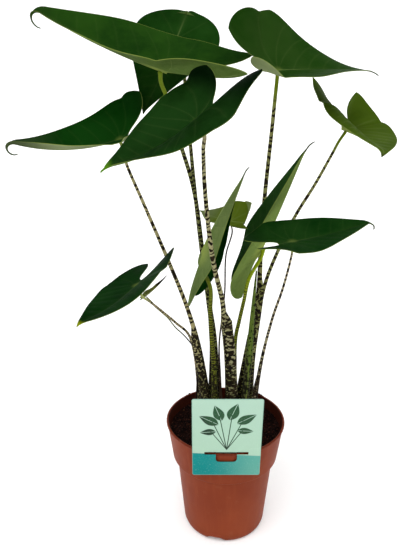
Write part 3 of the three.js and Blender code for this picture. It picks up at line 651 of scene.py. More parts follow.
def flat_rows(leaf, side):
    """Rows across one half of the flat blade from the lobe's end to the tip: where each starts and ends, and
    whether it starts at the lobe's free inner edge."""
    lobe, spread = leaf["lobe"][side], leaf["spread"][side]
    length, width, join = leaf["length"], leaf["width"], leaf["join"]
    rows = []
    # The lobe's outer and inner edges are curves whose controls are shares of the blade's own lengths
    free = np.linspace(1, JOIN_SHARE, LOBE_ROWS)
    joined = np.linspace(JOIN_SHARE, 0, JOIN_ROWS + 1)[1:-1]
    for q in np.concatenate([free, joined]):
        outer = (
            bezier(0, -0.42 * lobe, -lobe, -lobe, q),
            bezier(width, width * 1.04, spread + 0.62 * (width - spread), spread, q))
        s = (q - JOIN_SHARE) / (1 - JOIN_SHARE)
        is_free = s > 1e-9
        inner = (-join * q / JOIN_SHARE, 0.0)
        if is_free:
            inner = (
                bezier(-join, -join - 0.04 * lobe, -0.72 * lobe, -lobe, s),
                bezier(0, 0.45 * spread, 0.35 * spread, spread, s))
        rows.append((inner, outer, is_free))
    # The forward part narrows to a point, or to a thin tail
    tail = leaf.get("tail", 0)
    reach = 1 + tail / length
    for t in np.append(np.linspace(0, 1, FORWARD_ROWS + 1) ** 0.92, np.linspace(1, reach, TAIL_ROWS + 1)[1:]):
        half = width * max(0.0, 1 - t ** 1.6) ** 1.15
        if tail:
            half = max(half, TAIL_HALF_WIDTH * min(1, (reach - t) / (reach - 1)) ** 0.5)
        rows.append(((length * t, 0.0), (length * t, half), False))
    return rows


def vein_field(leaf, side, u, v):
    """Counts the side veins: whole numbers lie on a vein. Also gives how far apart they are."""
    lobe, spread = leaf["lobe"][side], leaf["spread"][side]
    width = leaf["width"]
    swing = VEIN_LEAN * v * v / width
    start = u - VEIN_LEAN * v - swing
    spacing = leaf["length"] / VEINS_AHEAD
    bearing = np.arctan2(v, u - swing)
    first = math.atan2(1, VEIN_LEAN)
    costa = math.atan2(spread, -lobe - VEIN_LEAN * spread * spread / width)
    step = (costa - first) / COSTA_NUMBER
    ahead = start >= 0
    count = np.where(ahead, start / spacing, -(bearing - first) / step)
    slant = np.sqrt(1 + (VEIN_LEAN * (1 + 2 * v / width)) ** 2)
    apart = np.where(ahead, spacing / slant, np.hypot(u, v) * step)
    return count, apart


def direction(heading, pitch):
    """Unit vectors along bearings and slopes."""
    return np.stack([np.cos(pitch) * np.cos(heading), np.cos(pitch) * np.sin(heading), np.sin(pitch)], -1)


def bend(leaf, side, u, v, relief):
    """Bends the flat blade; u runs forward from the hub and v outward from the midrib."""
    length, join, width = leaf["length"], leaf["join"], leaf["width"]
    lobe = leaf["lobe"][side]
    t = np.maximum(u / length, 0)
    q = np.clip((-u - join) / (lobe - join), 0, 1)
    ahead = u >= 0

    def angle_at(share):
        """The spine's slope at a share of the blade's length."""
        curled = np.maximum(0, (share - CURL_START) / (1 - CURL_START)) ** 1.5
        hooked = rad(leaf.get("hook", 0)) * np.maximum(0, share - 1) * length / max(1, leaf.get("tail", 1))
        return -rad(leaf["droop"]) * share ** 1.2 - rad(leaf["curl"]) * np.minimum(curled, 1) - hooked

    spine = np.zeros(u.shape + (3,))
    for i in range(SPINE_STEPS):
        middle = (i + 0.5) / SPINE_STEPS
        back = np.maximum(0, (-u * middle - join) / (lobe - join))
        lifted = rad(leaf["lift"][side]) * back
        step = np.where(
            ahead[..., None],
            direction(rad(leaf["sweep"]) * middle * t, angle_at(middle * t)),
            np.stack([-np.cos(lifted), np.zeros_like(u), -np.sin(lifted)], -1))
        spine += step * (np.abs(u) / SPINE_STEPS)[..., None]
    pitch = np.where(ahead, angle_at(t), rad(leaf["lift"][side]) * q)
    heading = rad(leaf["sweep"]) * t
    roll = rad(leaf["twist"]) * t
    forward = direction(heading, pitch)
    across = np.stack([-np.sin(heading), np.cos(heading), np.zeros_like(u)], -1)
    up = np.cross(forward, across)
    cos_roll, sin_roll = np.cos(roll)[..., None], np.sin(roll)[..., None]
    across_turned = across * cos_roll + up * sin_roll
    up_turned = up * cos_roll - across * sin_roll
    fold, tip_fold, lobe_fold = (leaf[k][side] for k in ("fold", "tip_fold", "lobe_fold"))
    folded = np.radians(np.where(
        ahead, fold + (tip_fold - fold) * t, fold + (lobe_fold - fold) * q * (2 - q)))
    turn = rad(leaf["cup"][side] or 0.01) / width
    end = folded + turn * v
    outward = (np.sin(end) - np.sin(folded)) / turn
    raised = (np.cos(folded) - np.cos(end)) / turn
    ripple = leaf["wave"] * (v / width) ** 2 * np.maximum(0, 1 - t ** 2) * np.sin(
        leaf["ripples"] * math.pi * (u / length) + leaf["phase"] + side)
    hand = 1 if side == 0 else -1
    raised = (raised + ripple + relief)[..., None]
    return spine + across_turned * (hand * outward)[..., None] + up_turned * raised


def leaf_axes(leaf):
    """Which way a blade points at its hub, and its directions across and up."""
    yaw, pitch, roll = (rad(leaf[k]) for k in ("yaw", "pitch", "roll"))
    ahead = Vector((math.cos(pitch) * math.cos(yaw), math.cos(pitch) * math.sin(yaw), math.sin(pitch)))
    level = Vector((-math.sin(yaw), math.cos(yaw), 0))
    raised = ahead.cross(level)
    across = level * math.cos(roll) + raised * math.sin(roll)
    up = raised * math.cos(roll) - level * math.sin(roll)
    return ahead, across, up


def blade_mesh(leaf):
    """The whole blade as a closed sheet with its rib underneath."""
    columns = np.arange(BLADE_COLUMNS + 1) / BLADE_COLUMNS
    columns = 0.5 * columns + 0.5 * (0.5 - 0.5 * np.cos(math.pi * columns))
    points, faces = [], []
    data = {k: [] for k in ("vein", "apart", "edge", "hub", "rib", "tip")}
    spine = {}
    for side in (0, 1):
        inner, outer, free = (np.array(part) for part in zip(*flat_rows(leaf, side)))
        flat = inner[:, None] + (outer - inner)[:, None] * columns[None, :, None]
        u, v = flat[..., 0], flat[..., 1]
        count, apart = vein_field(leaf, side, u, v)
        across_row = np.linalg.norm(outer - inner, axis=1)[:, None]
        edge = across_row * (1 - columns)
        edge = np.where(free[:, None], np.minimum(edge, across_row * columns), edge)
        hub = np.hypot(u, v)
        fade = (np.clip(edge / QUILT_FROM_EDGE, 0, 1) * np.clip(v / QUILT_FROM_MIDRIB, 0, 1)
                * np.clip(apart / QUILT_FROM_VEIN, 0, 1))
        placed_at = bend(leaf, side, u, v, -QUILT * np.cos(2 * math.pi * count) * fade)
        grid = np.zeros(u.shape, int)
        last = len(inner) - 1
        for i, j in np.ndindex(grid.shape):
            shared = v[i, j] == 0 and j == 0
            if i in (0, last) and j > 0:
                grid[i, j] = grid[i, 0]
            elif shared and i in spine:
                grid[i, j] = spine[i]
            else:
                grid[i, j] = len(points)
                if shared:
                    spine[i] = len(points)
                points.append(placed_at[i, j])
                for key, value in zip(data, (count, apart, edge, hub, v, leaf["length"] - u)):
                    data[key].append(value[i, j])
        for i, j in np.ndindex(last, BLADE_COLUMNS):
            corners = [grid[i, j], grid[i + 1, j], grid[i + 1, j + 1], grid[i, j + 1]]
            if side == 1:
                corners.reverse()
            corners = [c for k, c in enumerate(corners) if c != corners[k - 1]]
            if len(corners) > 2:
                faces.append(corners)
    return closed_sheet(leaf, np.array(points), faces, data)


def closed_sheet(leaf, local, faces, data):
    """Gives a surface its thickness, and its rib, and carries the leaf's own measures onto the vertices."""
    ahead, across, up = (np.array(a) for a in leaf_axes(leaf))
    top = np.array(leaf["hub"]) + local @ np.stack([ahead, across, up])
    normals = np.zeros_like(top)
    open_edges = {}
    for corners in faces:
        a, b, c, d = (top[corners[k]] for k in (0, 1, 2, -1))
        normal = np.cross(b - a, c - a) + np.cross(c - a, d - a)
        for k, corner in enumerate(corners):
            normals[corner] += normal
            pair = (corners[k - 1], corner)
            if pair[::-1] in open_edges:
                del open_edges[pair[::-1]]
            else:
                open_edges[pair] = True
    normals /= np.maximum(np.linalg.norm(normals, axis=1, keepdims=True), 1e-12)
    rib = np.array(data["rib"])
    hub = np.array(data["hub"])
    small = min(1, leaf["width"] / FULL_RIB_WIDTH)
    thin_out = np.clip(RIB_THIN_OUT - hub / leaf["length"], 0, 1)
    depth = BLADE_THICKNESS + RIB_DEPTH * small * thin_out * np.exp(-(rib / (RIB_REACH * small)) ** 2)
    bottom = top - normals * depth[:, None]
    count = len(top)
    all_faces = [list(f) for f in faces] + [[c + count for c in reversed(f)] for f in faces]
    all_faces += [[b, a, a + count, b + count] for a, b in open_edges]
    mesh = new_mesh("blade", np.concatenate([top, bottom]).tolist(), all_faces)
    for key, values in data.items():
        scaled = np.array(values) * (1 if key == "vein" else MM)
        set_values(mesh, key, np.concatenate([scaled, scaled]))
    set_values(mesh, "under", np.concatenate([np.zeros(count), np.ones(count)]))
    mesh.shade_smooth()
    mesh.set_sharp_from_angle(angle=rad(SHARP_BLADE_EDGE))
    return mesh


def blade_paint(name, form, deep, mid, under, tip_tone, tip_reach, pale_rim, lobe_shade, show):
    """Leathery leaf skin: faint veins and ribs by their own measures, a thin margin, a pale underside and
    painted shade that darkens the lobes' ends on the upper side.
    """
    paint = Paint(name)
    deep, mid, under, tip_tone = (colour(c) for c in (deep, mid, under, tip_tone))
    line_tone, margin = colour("7f9155"), colour("8d9c4c")
    vein, apart, edge, hub, rib, side, tip = (
        paint.attribute(k) for k in ("vein", "apart", "edge", "hub", "rib", "under", "tip"))
    cloud = paint.noise(16.0, 3.0)
    fine = paint.noise(140.0, 4.0)
    grain = paint.noise(900.0, 2.0)
    # Veins, from how far the nearest whole number of the vein count lies
    shake = (paint.noise(60.0, 2.0) - 0.5) * 0.10
    nearest = abs((vein + shake + 0.5).math("FRACT") - 0.5) * apart
    main = abs(vein + COSTA_NUMBER).rise(0.5, 0.42)
    line_reach = VEIN_REACH * MM + main * (MAIN_VEIN_EXTRA * MM)
    side_vein = (1 - nearest / line_reach).rise(0.0, 0.6) * hub.rise_mm(2, 8) * edge.rise_mm(1.5, 6)
    side_vein = side_vein * (0.6 + main * 0.6).below(1.0)
    halo = (1 - nearest / (line_reach * VEIN_HALO)).rise(0.0, 1.0) * edge.rise_mm(2, 12)
    midrib = rib.rise_mm(1.3, 0.4) * edge.rise_mm(0, 2)
    midrib_halo = rib.rise_mm(7, 0)
    net = paint.node("ShaderNodeTexVoronoi", {"feature": "DISTANCE_TO_EDGE"}, {
        "Vector": paint.place, "Scale": 260.0})
    net_line = net.rise(0.09, 0.0)
    rim = edge.rise_mm(0.7, 0.2)
    near_hub = hub.rise_mm(50, 0)
    at_tip = tip.rise_mm(tip_reach, 0.25 * tip_reach)
    # Upper side
    top = paint.mix(cloud.rise(0.32, 0.68), deep, mid)
    top = paint.mix(fine.rise(0.35, 0.8) * 0.4, top, mid)
    top = paint.mix(net_line * 0.12, top, mid)
    top = paint.mix((halo * 0.010 + midrib_halo * 0.012) * show, top, line_tone)
    top = paint.mix(side_vein * (0.010 + near_hub * 0.025) * show, top, line_tone)
    top = paint.mix(midrib * ((0.02 + near_hub * 0.10) * show).below(1.0), top, line_tone)
    top = paint.mix(hub.rise_mm(8, 1) * 0.2, top, margin)
    top = paint.mix(rim * pale_rim, top, margin)
    top = paint.mix(at_tip * 0.9, top, tip_tone)
    # Painted shade: the upper side darkens toward near black over the lobes' ends, where they lie in shade
    shade_from, shade_full = (form["length"] + max(form["lobe"]) * k for k in SHADED_LOBE_ENDS)
    top = paint.mix(tip.rise_mm(shade_from, shade_full) * lobe_shade, top, colour("010a02"))
    # Underside
    low = paint.mix(cloud.rise(0.25, 0.75) * 0.35, under, mid)
    low = paint.mix(fine.rise(0.3, 0.8) * 0.18, low, line_tone)
    low = paint.mix(net_line * 0.10, low, mid)
    low = paint.mix((side_vein * 0.35 + midrib * 0.8).below(1.0), low, line_tone)
    low = paint.mix(hub.rise_mm(30, 4) * 0.7, low, margin)
    low = paint.mix(rim * (0.3 + 0.5 * pale_rim), low, margin)
    low = paint.mix(at_tip * 0.8, low, tip_tone)
    height = net_line * -0.12 + fine * 0.35 + grain * 0.10 - side_vein * (1 - side * 2) * 0.6
    height = height + halo * side * 0.5
    return paint.set(
        Base_Color=paint.mix(side, top, low),
        Roughness=(0.40 + side * 0.2 + (fine - 0.5) * 0.2 + cloud * 0.08 + side_vein * 0.08).below(0.95),
        Normal=paint.bump(height, 0.0005, 0.5),
        Specular_IOR_Level=LEAF_SHEEN)


def withered_paint():
    """Dried leaf and stalk: straw and olive with brown ends and long wrinkles."""
    paint = Paint("withered skin")
    hub, thickness, share = (paint.attribute(k) for k in ("hub", "thickness", "share"))
    blotch = paint.noise(55.0, 4.0)
    fibre = paint.drawn((600, 600, 120), 3.0)
    tone = paint.mix(blotch.rise(0.35, 0.65), colour("56662c"), colour("767a40"))
    tone = paint.mix(fibre.rise(0.4, 0.7) * 0.5, tone, colour("3a3016"))
    tone = paint.mix((hub + blotch * 0.010).rise_mm(20, 32), tone, colour("15100c"))
    tone = paint.mix(thickness.rise_mm(0, 0.2) * share.rise(0.95, 0.7), tone, colour("1e1410"))
    return paint.set(
        Base_Color=tone, Roughness=0.55 + fibre * 0.3, Normal=paint.bump(fibre, 0.0006, 0.7),
        Specular_IOR_Level=LEAF_SHEEN)


# Stalks

def stalk_end(leaf, before, lead):
    """The last places of a stalk, up to just short of its blade, and where its skin joins the rib."""
    ahead, _, up = leaf_axes(leaf)
    notched = leaf.get("at_notch")
    inward = ahead if notched else up
    clear = leaf["join"] + NOTCH_GAP if notched else BLADE_THICKNESS + RIB_DEPTH + HUB_GAP
    end = Vector(leaf["hub"]) - inward * clear
    coming = (Vector(before) - end).normalized()
    below, along = lead
    turn = end - inward * below * HUB_LEAD + coming * along * HUB_LEAD
    return [turn, end], end + inward * (NOTCH_GAP if notched else HUB_GAP + BLADE_THICKNESS)


def smooth_path(points, steps):
    """Places along a centripetal curve through the points, evenly spaced in its parameter."""
    places = []
    spans = len(points) - 1
    for i in range(steps + 1):
        whole = min(int(spans * i / steps), spans - 1)
        w = spans * i / steps - whole
        p1, p2 = points[whole], points[whole + 1]
        p0 = points[whole - 1] if whole > 0 else p1 * 2 - p2
        p3 = points[whole + 2] if whole + 2 <= spans else p2 * 2 - p1
        d0, d1, d2 = ((b - a).length ** 0.5 for a, b in ((p0, p1), (p1, p2), (p2, p3)))
        t1 = ((p1 - p0) / d0 - (p2 - p0) / (d0 + d1) + (p2 - p1) / d1) * d1
        t2 = ((p2 - p1) / d1 - (p3 - p1) / (d1 + d2) + (p3 - p2) / d2) * d1
        places.append(p1 + t1 * w + (p1 * -3 + p2 * 3 - t1 * 2 - t2) * w ** 2
                      + (p1 * 2 - p2 * 2 + t1 + t2) * w ** 3)
    return places


def stalk_tree():
    """Grows a round skin along a line of points that carry thickness and sheath, and marks places on it."""
    tree = Growth("stalk skin", {
        "Line": "Geometry", "Sides": "Int", "Sheath across": "Float", "Sheath along": "Float",
        "Skin": "Material"})
    start = tree.start
    curve = tree.node("GeometryNodeMeshToCurve", {}, {"Mesh": start.other("Line")})
    place = tree.node("GeometryNodeInputPosition")
    curve = tree.marked(curve, "centre", place)
    ring = tree.node("GeometryNodeCurvePrimitiveCircle", {}, {
        "Resolution": start.other("Sides"), "Radius": 1.0})
    thickness = tree.carried("thickness")
    skin = tree.node("GeometryNodeCurveToMesh", {}, {
        "Curve": curve, "Profile Curve": ring, "Scale": thickness, "Fill Caps": True})
    away = tree.vector("NORMALIZE", tree.vector("SUBTRACT", place, tree.carried("centre", "FLOAT_VECTOR")))
    x, y = tree.axis(away, "X"), tree.axis(away, "Y")
    wrap = tree.node("ShaderNodeCombineXYZ", {}, {
        0: x * thickness, 1: y * thickness, 2: tree.carried("along")})
    skin = tree.marked(skin, "wrap", wrap)
    toward = (x * start.other("Sheath across") + y * start.other("Sheath along")).above(0.0)
    out = tree.scaled(away, toward * toward * tree.carried("sheath"))
    skin = tree.node("GeometryNodeSetPosition", {}, {"Geometry": skin, "Offset": out})
    skin = tree.node("GeometryNodeSetShadeSmooth", {}, {"Geometry": skin})
    return tree.close(skin, start.other("Skin"))


def stalk_mesh(name, skin):
    """A stalk's skin, grown along its path, with what its pattern needs to know stored on it."""
    stem = STALKS[name]
    x, y = stem["base"]
    points = [Vector((x, y, SOIL_LEVEL - STALK_SINK)), Vector((x, y, SOIL_LEVEL + STRAIGHT_ABOVE_SOIL))]
    points += [Vector(p) for p in stem["path"]]
    join = None
    if name in LEAVES:
        ending, join = stalk_end(LEAVES[name], stem["path"][-1], stem.get("lead", USUAL_LEAD))
        points += ending
    places = smooth_path(points, STALK_STEPS)
    if join is not None:
        places.append(join)
    top, middle, base = stem["radii"]
    reach = stem["path"][-1][2] - SOIL_LEVEL
    sheath_top, sheath_out, sheath_side = stem["sheath"]
    run = np.array([0.0] + [(b - a).length for a, b in zip(places, places[1:])]).cumsum()
    marks = {k: [] for k in ("thickness", "sheath", "along", "plain", "share", "stout", "blade_end")}
    for place, walked in zip(places, run):
        height = place.z - SOIL_LEVEL
        left = run[-1] - walked
        share = clamp(height / reach)
        if share < 0.5:
            size = base + (middle - base) * share * 2
        else:
            size = middle + (top - middle) * (share - 0.5) * 2
        size *= 1 + BASE_FLARE * math.exp(-max(0, height) / BASE_FLARE_REACH)
        if join is not None:
            size *= (1 + TOP_FLARE * math.exp(-left / TOP_FLARE_REACH)) * min(1, TOP_END + left / TOP_TAPER)
        in_sheath = clamp((sheath_top - place.z) / SHEATH_RUN_OUT)
        low_down = clamp((SOIL_LEVEL + STOUT_TOP - place.z) / STOUT_RUN_OUT)
        values = (
            size * MM, sheath_out * in_sheath * MM, walked * MM,
            clamp(PLAIN_RAMP - left / max(1, stem["plain"])), share,
            max(in_sheath if sheath_out > BROAD_SHEATH else 0, low_down),
            clamp(BLADE_END_RAMP - left / stem["blade_end"]) if "blade_end" in stem else 0)
        for key, value in zip(marks, values):
            marks[key].append(value)
    mesh = bpy.data.meshes.new("line")
    mesh.from_pydata([p * MM for p in places], [(i, i + 1) for i in range(len(places) - 1)], [])
    for key, values in marks.items():
        set_values(mesh, key, values)
    return grown(mesh, stalk_tree(), **{
        "Sides": STALK_SIDES, "Sheath across": math.cos(rad(sheath_side)),
        "Sheath along": math.sin(rad(sheath_side)), "Skin": skin})


def near_soil(paint, heights):
    """Rises from 0 to 1 toward the soil, from the first of two heights above it in mm down to the second."""
    begins, full = heights
    return paint.axis(paint.place, "Z").rise_mm(SOIL_LEVEL + begins, SOIL_LEVEL + full)


def stalk_paint(name, tones, blade_tone, dark, seed):
    """Cream and green stalk skin with brown-black zebra bands that break up into blotches."""
    low_tone, high_tone, band_tone, band_step, blotch_wide = tones
    paint = Paint(name)
    wrap = paint.attribute("wrap", "Vector")
    plain, share, stout, blade_end = (paint.attribute(k) for k in ("plain", "share", "stout", "blade_end"))
    soil_end = near_soil(paint, STALK_BROWN)
    shifted = paint.vector("ADD", wrap, (seed, seed * 0.7, seed * 1.3))
    # Zebra bands, which wander by swirls a blotch's width wide and break up into flecks
    across = 1 / (1.8 * blotch_wide * MM)
    swirl = paint.drawn((across, across, 0.8 * across), 1.0, shifted, 0.5)
    grain = 1 / (0.75 * band_step * MM)
    fleck = paint.drawn((grain, grain, grain), 2.0, shifted)
    patch = paint.drawn((60, 60, 60), 1.0, shifted, 0.5)
    phase = paint.axis(wrap, "Z") / (band_step * MM) + (swirl - 0.5) * SWIRL + (patch - 0.5) * PATCH_SWIRL
    wave = (phase * (2 * math.pi)).math("SINE") * 0.5 + 0.5
    level = 0.5 + (0.5 - dark) * 0.55 + (share - 0.45) * 0.10 - soil_end * 0.10
    field = wave * 0.60 + fleck * 1.0 - 0.30 + (patch - 0.5) * 0.3
    # Blotches, which take the bands' place low down and on a broad sheath
    blot = paint.drawn((330, 330, 250), 1.5, shifted, 0.5)
    small = paint.drawn((560, 560, 460), 1.5, shifted, 0.5)
    blotched = 0.5 + (blot - 0.5) * 2.2 * (1 - soil_end * 0.5) + (small - 0.5) * (1.0 + soil_end * 1.2)
    field = field * (1 - stout) + (blotched + 0.075) * stout
    mask = (field - level).rise(-0.06, 0.07)
    mask = (mask * plain.rise(0.80, 0.25)).below(1.0)
    # Ground colour
    streak = paint.drawn((900, 900, 40), 2.0, shifted)
    cloud = paint.drawn((70, 70, 45), 2.0, shifted)
    ground = paint.mix(plain.rise(0.05, 0.9), colour(low_tone), colour(high_tone))
    ground = paint.mix(cloud.rise(0.47, 0.66) * share.rise(0.8, 0.0) * 0.7, ground, colour("4e5a1a"))
    ground = paint.mix(streak.rise(0.4, 0.7) * 0.3, ground, colour(high_tone))
    ground = paint.mix(blade_end.rise(0.4, 0.7), ground, colour(blade_tone))
    ground = paint.mix(soil_end * (0.15 + cloud.rise(0.35, 0.6) * 0.4), ground, colour("38361c"))
    band = paint.mix(fleck.rise(0.35, 0.7) * 0.5, colour(band_tone), colour("3a2e1c"))
    return paint.set(
        Base_Color=paint.mix(mask, ground, band),
        Roughness=0.5 + streak * 0.2 + mask * 0.06,
        Normal=paint.bump(streak * 0.7 + mask * 0.4, 0.0003, 0.5),
        Specular_IOR_Level=STALK_SHEEN)


def spear_paint():
    """Rolled young leaf: fine long streaks, and dark mottling that thickens toward the soil."""
    paint = Paint("rolled young leaf")
    wrap = paint.attribute("wrap", "Vector")
    soil_end = near_soil(paint, SPEAR_BROWN)
    streak = paint.drawn((700, 700, 14), 3.0, wrap)
    cloud = paint.noise(40.0, 2.0)
    blot = paint.drawn((300, 300, 210), 2.0, wrap)
    tone = paint.mix(streak.rise(0.35, 0.65), colour("465a20"), colour("62732f"))
    tone = paint.mix(cloud.rise(0.4, 0.7) * 0.5, tone, colour("38491a"))
    from_face = abs(paint.axis(wrap, "X") - SPEAR_FACE * MM)
    flank = (from_face + soil_end * (SPEAR_BROWN_SPREAD * MM)).rise_mm(1.8, 3.6)
    mottled = (blot + soil_end * flank * 0.16 - 0.02).rise(0.56, 0.62)
    tone = paint.mix(soil_end * flank, tone, colour("4a4a2a"))
    tone = paint.mix(mottled * 0.95, tone, colour("12110a"))
    return paint.set(
        Base_Color=tone, Roughness=0.5 + streak * 0.15, Normal=paint.bump(streak, 0.0004, 0.6),
        Specular_IOR_Level=STALK_SHEEN)


# Pot

def softened(points, radius, steps=4):
    """A profile with each inner corner rounded off over up to radius."""
    made = [points[0]]
    for before, corner, after in zip(points, points[1:], points[2:]):
        a, b, c = (np.array(p, float) for p in (before, corner, after))
        reach = min(radius, np.linalg.norm(a - b) * 0.45, np.linalg.norm(c - b) * 0.45)
        start = b + (a - b) / np.linalg.norm(a - b) * reach
        end = b + (c - b) / np.linalg.norm(c - b) * reach
        for i in range(steps + 1):
            t = i / steps
            made.append(tuple(start * (1 - t) ** 2 + b * 2 * t * (1 - t) + end * t ** 2))
    made.append(points[-1])
    return made


def lathe(profile, sides):
    """A closed turned shape; its profile runs from the axis below, round the outside, to the axis inside."""
    points = [(0, 0, profile[0][1])]
    for radius, height in profile[1:-1]:
        points += ring_of(radius, height, sides)
    points.append((0, 0, profile[-1][1]))
    faces = [(first, *reversed(rest)) for first, *rest in turned_faces(len(profile) - 2, sides)]
    mesh = new_mesh("turned", points, faces)
    shell = bmesh.new()
    shell.from_mesh(mesh)
    bmesh.ops.recalc_face_normals(shell, faces=shell.faces)
    shell.to_mesh(mesh)
    shell.free()
    return mesh


def cutter(outline, depth, place):
    """A straight-sided block of a flat outline, for cutting."""
    n = len(outline)
    points = [(x, y, z) for z in (0, depth) for x, y in outline]
    faces = [tuple(reversed(range(n))), tuple(range(n, 2 * n))]
    faces += [(i, (i + 1) % n, n + (i + 1) % n, n + i) for i in range(n)]
    mesh = new_mesh("cutter", points, faces)
    mesh.transform(place)
    return placed("cutter", mesh)


def inside_profile(clear):
    """The pot's inside from the collar's step down to the axis, or the side of a filling clear of it."""
    return [
        (COLLAR_FOOT_RADIUS - WALL - clear, COLLAR_FOOT + WALL + clear),
        (WALL_TOP_RADIUS - WALL - clear, COLLAR_FOOT + WALL + clear - INNER_STEP),
        (WALL_FOOT_RADIUS - WALL - clear, FLOOR_LIFT + WALL + INNER_CORNER + clear),
        (WALL_FOOT_RADIUS - WALL - INNER_CORNER - clear, FLOOR_LIFT + WALL + clear),
        (PAD_RADIUS + PAD_FLARE - PAD_WALL - clear, FLOOR_LIFT + WALL + clear),
        (PAD_RADIUS - PAD_WALL - clear, WALL + clear),
        (0, WALL + clear)]


def drain_holes():
    """Cutters for the holes in the lifted floor, between the middle pad and the foot ring."""
    ring = (PAD_RADIUS + PAD_FLARE + FOOT_RING_INNER) / 2
    circle = [(x, y) for x, y, _ in ring_of(DRAIN_HOLE_RADIUS, 0, DRAIN_HOLE_SIDES)]
    for i in range(DRAIN_HOLES):
        angle = 2 * math.pi * (i + 0.5) / DRAIN_HOLES
        place = Matrix.Translation((ring * math.cos(angle) * MM, ring * math.sin(angle) * MM, 0))
        yield cutter(circle, 3 * FLOOR_LIFT, place)


def foot_notches():
    """Cutters for the notches in the foot ring, wider at the floor than above."""
    half = NOTCH_WIDTH / 2
    top = half - NOTCH_FLARE
    outline = [(half, -1), (top, NOTCH_HEIGHT), (-top, NOTCH_HEIGHT), (-half, -1)]
    notch = softened(outline[::-1], NOTCH_ROUNDING)[::-1]
    outward = Matrix(((0, 0, 1, NOTCH_START_RADIUS * MM), (1, 0, 0, 0), (0, 1, 0, 0), (0, 0, 0, 1)))
    for i in range(NOTCHES):
        turn = Matrix.Rotation(rad(FIRST_NOTCH_ANGLE + 360 * i / NOTCHES), 4, "Z")
        yield cutter(notch, NOTCH_DEPTH, turn @ outward)


def pot_mesh():
    """The pot, turned from one profile, with its drain holes and foot notches cut out."""
    bevel_out, bevel_up = COLLAR_BEVEL
    outside = [
        (0, 0), (PAD_RADIUS, 0), (PAD_RADIUS + PAD_FLARE, FLOOR_LIFT), (FOOT_RING_INNER, FLOOR_LIFT),
        (FOOT_RING_INNER + FOOT_RING_FLARE, 0), (WALL_FOOT_RADIUS - FOOT_ROUNDING, 0),
        (WALL_FOOT_RADIUS - 0.3 * FOOT_ROUNDING, 0.25 * FOOT_ROUNDING), (WALL_FOOT_RADIUS, FOOT_ROUNDING),
        (WALL_TOP_RADIUS, COLLAR_FOOT), (COLLAR_FOOT_RADIUS - bevel_out, COLLAR_FOOT),
        (COLLAR_FOOT_RADIUS, COLLAR_FOOT + bevel_up), (RIM_RADIUS - RIM_OVERHANG, POT_HEIGHT - RIM_LIP),
        (RIM_RADIUS, POT_HEIGHT - RIM_LIP + RIM_STEP), (RIM_RADIUS, POT_HEIGHT),
        (RIM_RADIUS - RIM_LIP, POT_HEIGHT)]
    shell = placed("shell", lathe(softened(outside + inside_profile(0), MOULD_ROUNDING), LATHE_SIDES))
    tools = [*drain_holes(), *foot_notches()]
    for tool in tools:
        cut = shell.modifiers.new("cut", "BOOLEAN")
        cut.operation = "DIFFERENCE"
        cut.solver = "EXACT"
        cut.object = tool
    made = final_mesh(shell)
    for spare in tools + [shell]:
        bpy.data.objects.remove(spare)
    made.shade_smooth()
    made.set_sharp_from_angle(angle=rad(SHARP_POT_EDGE))
    return made


def pot_paint():
    """Terracotta-coloured moulded plastic, a little dusty, with faint flow lines and rub marks, and painted
    shade darkening the rim and the inside of the collar.
    """
    paint = Paint("terracotta plastic")
    cloud = paint.noise(9.0, 3.0)
    dust = paint.noise(60.0, 5.0)
    grain = paint.noise(1100.0, 2.0)
    flow = paint.drawn((160, 160, 9), 3.0)
    scuff = paint.drawn((45, 45, 420), 4.0)
    x, y, height = (paint.axis(paint.place, name) for name in "XYZ")
    # The shaded inside of the collar, from how far a place lies within the outer skin
    widening = (RIM_RADIUS - RIM_OVERHANG - COLLAR_FOOT_RADIUS) / (POT_HEIGHT - RIM_LIP - COLLAR_FOOT)
    skin = (height - COLLAR_FOOT * MM) * widening + COLLAR_FOOT_RADIUS * MM
    inside = (skin - (x * x + y * y).math("SQRT")).rise_mm(0.6, 1.6)
    inside = inside * height.rise_mm(POT_HEIGHT - 0.1, POT_HEIGHT - 0.6)
    inside = inside * height.rise_mm(COLLAR_FOOT + WALL, COLLAR_FOOT + WALL + 2)
    tone = paint.mix(cloud.rise(0.3, 0.7), colour("74301a"), colour("80391f"))
    tone = paint.mix(flow.rise(0.45, 0.75) * 0.25, tone, colour("8c4528"))
    # Painted shade: the top 6 mm of the pot, over its rim, darkened toward a deep brown
    tone = paint.mix(height.rise_mm(POT_HEIGHT - 6, POT_HEIGHT - 1) * 0.55, tone, colour("4c1a0e"))
    tone = paint.mix(dust.rise(0.58, 0.75) * 0.12, tone, colour("96664c"))
    tone = paint.mix(inside * 0.85, tone, colour("1c0805"))
    tone = paint.mix(scuff.rise(0.70, 0.80) * 0.20, tone, colour("9c6246"))
    tone = paint.mix(height.rise_mm(20, 0) * dust.rise(0.4, 0.7) * 0.35, tone, colour("4c2618"))
    return paint.set(
        Base_Color=tone,
        Roughness=0.40 + dust * 0.16 + scuff.rise(0.66, 0.8) * 0.15,
        Normal=paint.bump(grain * 0.3 + flow * 0.5 + cloud * 0.8, 0.0004, 0.35),
        Specular_IOR_Level=POT_SHEEN)


# Soil

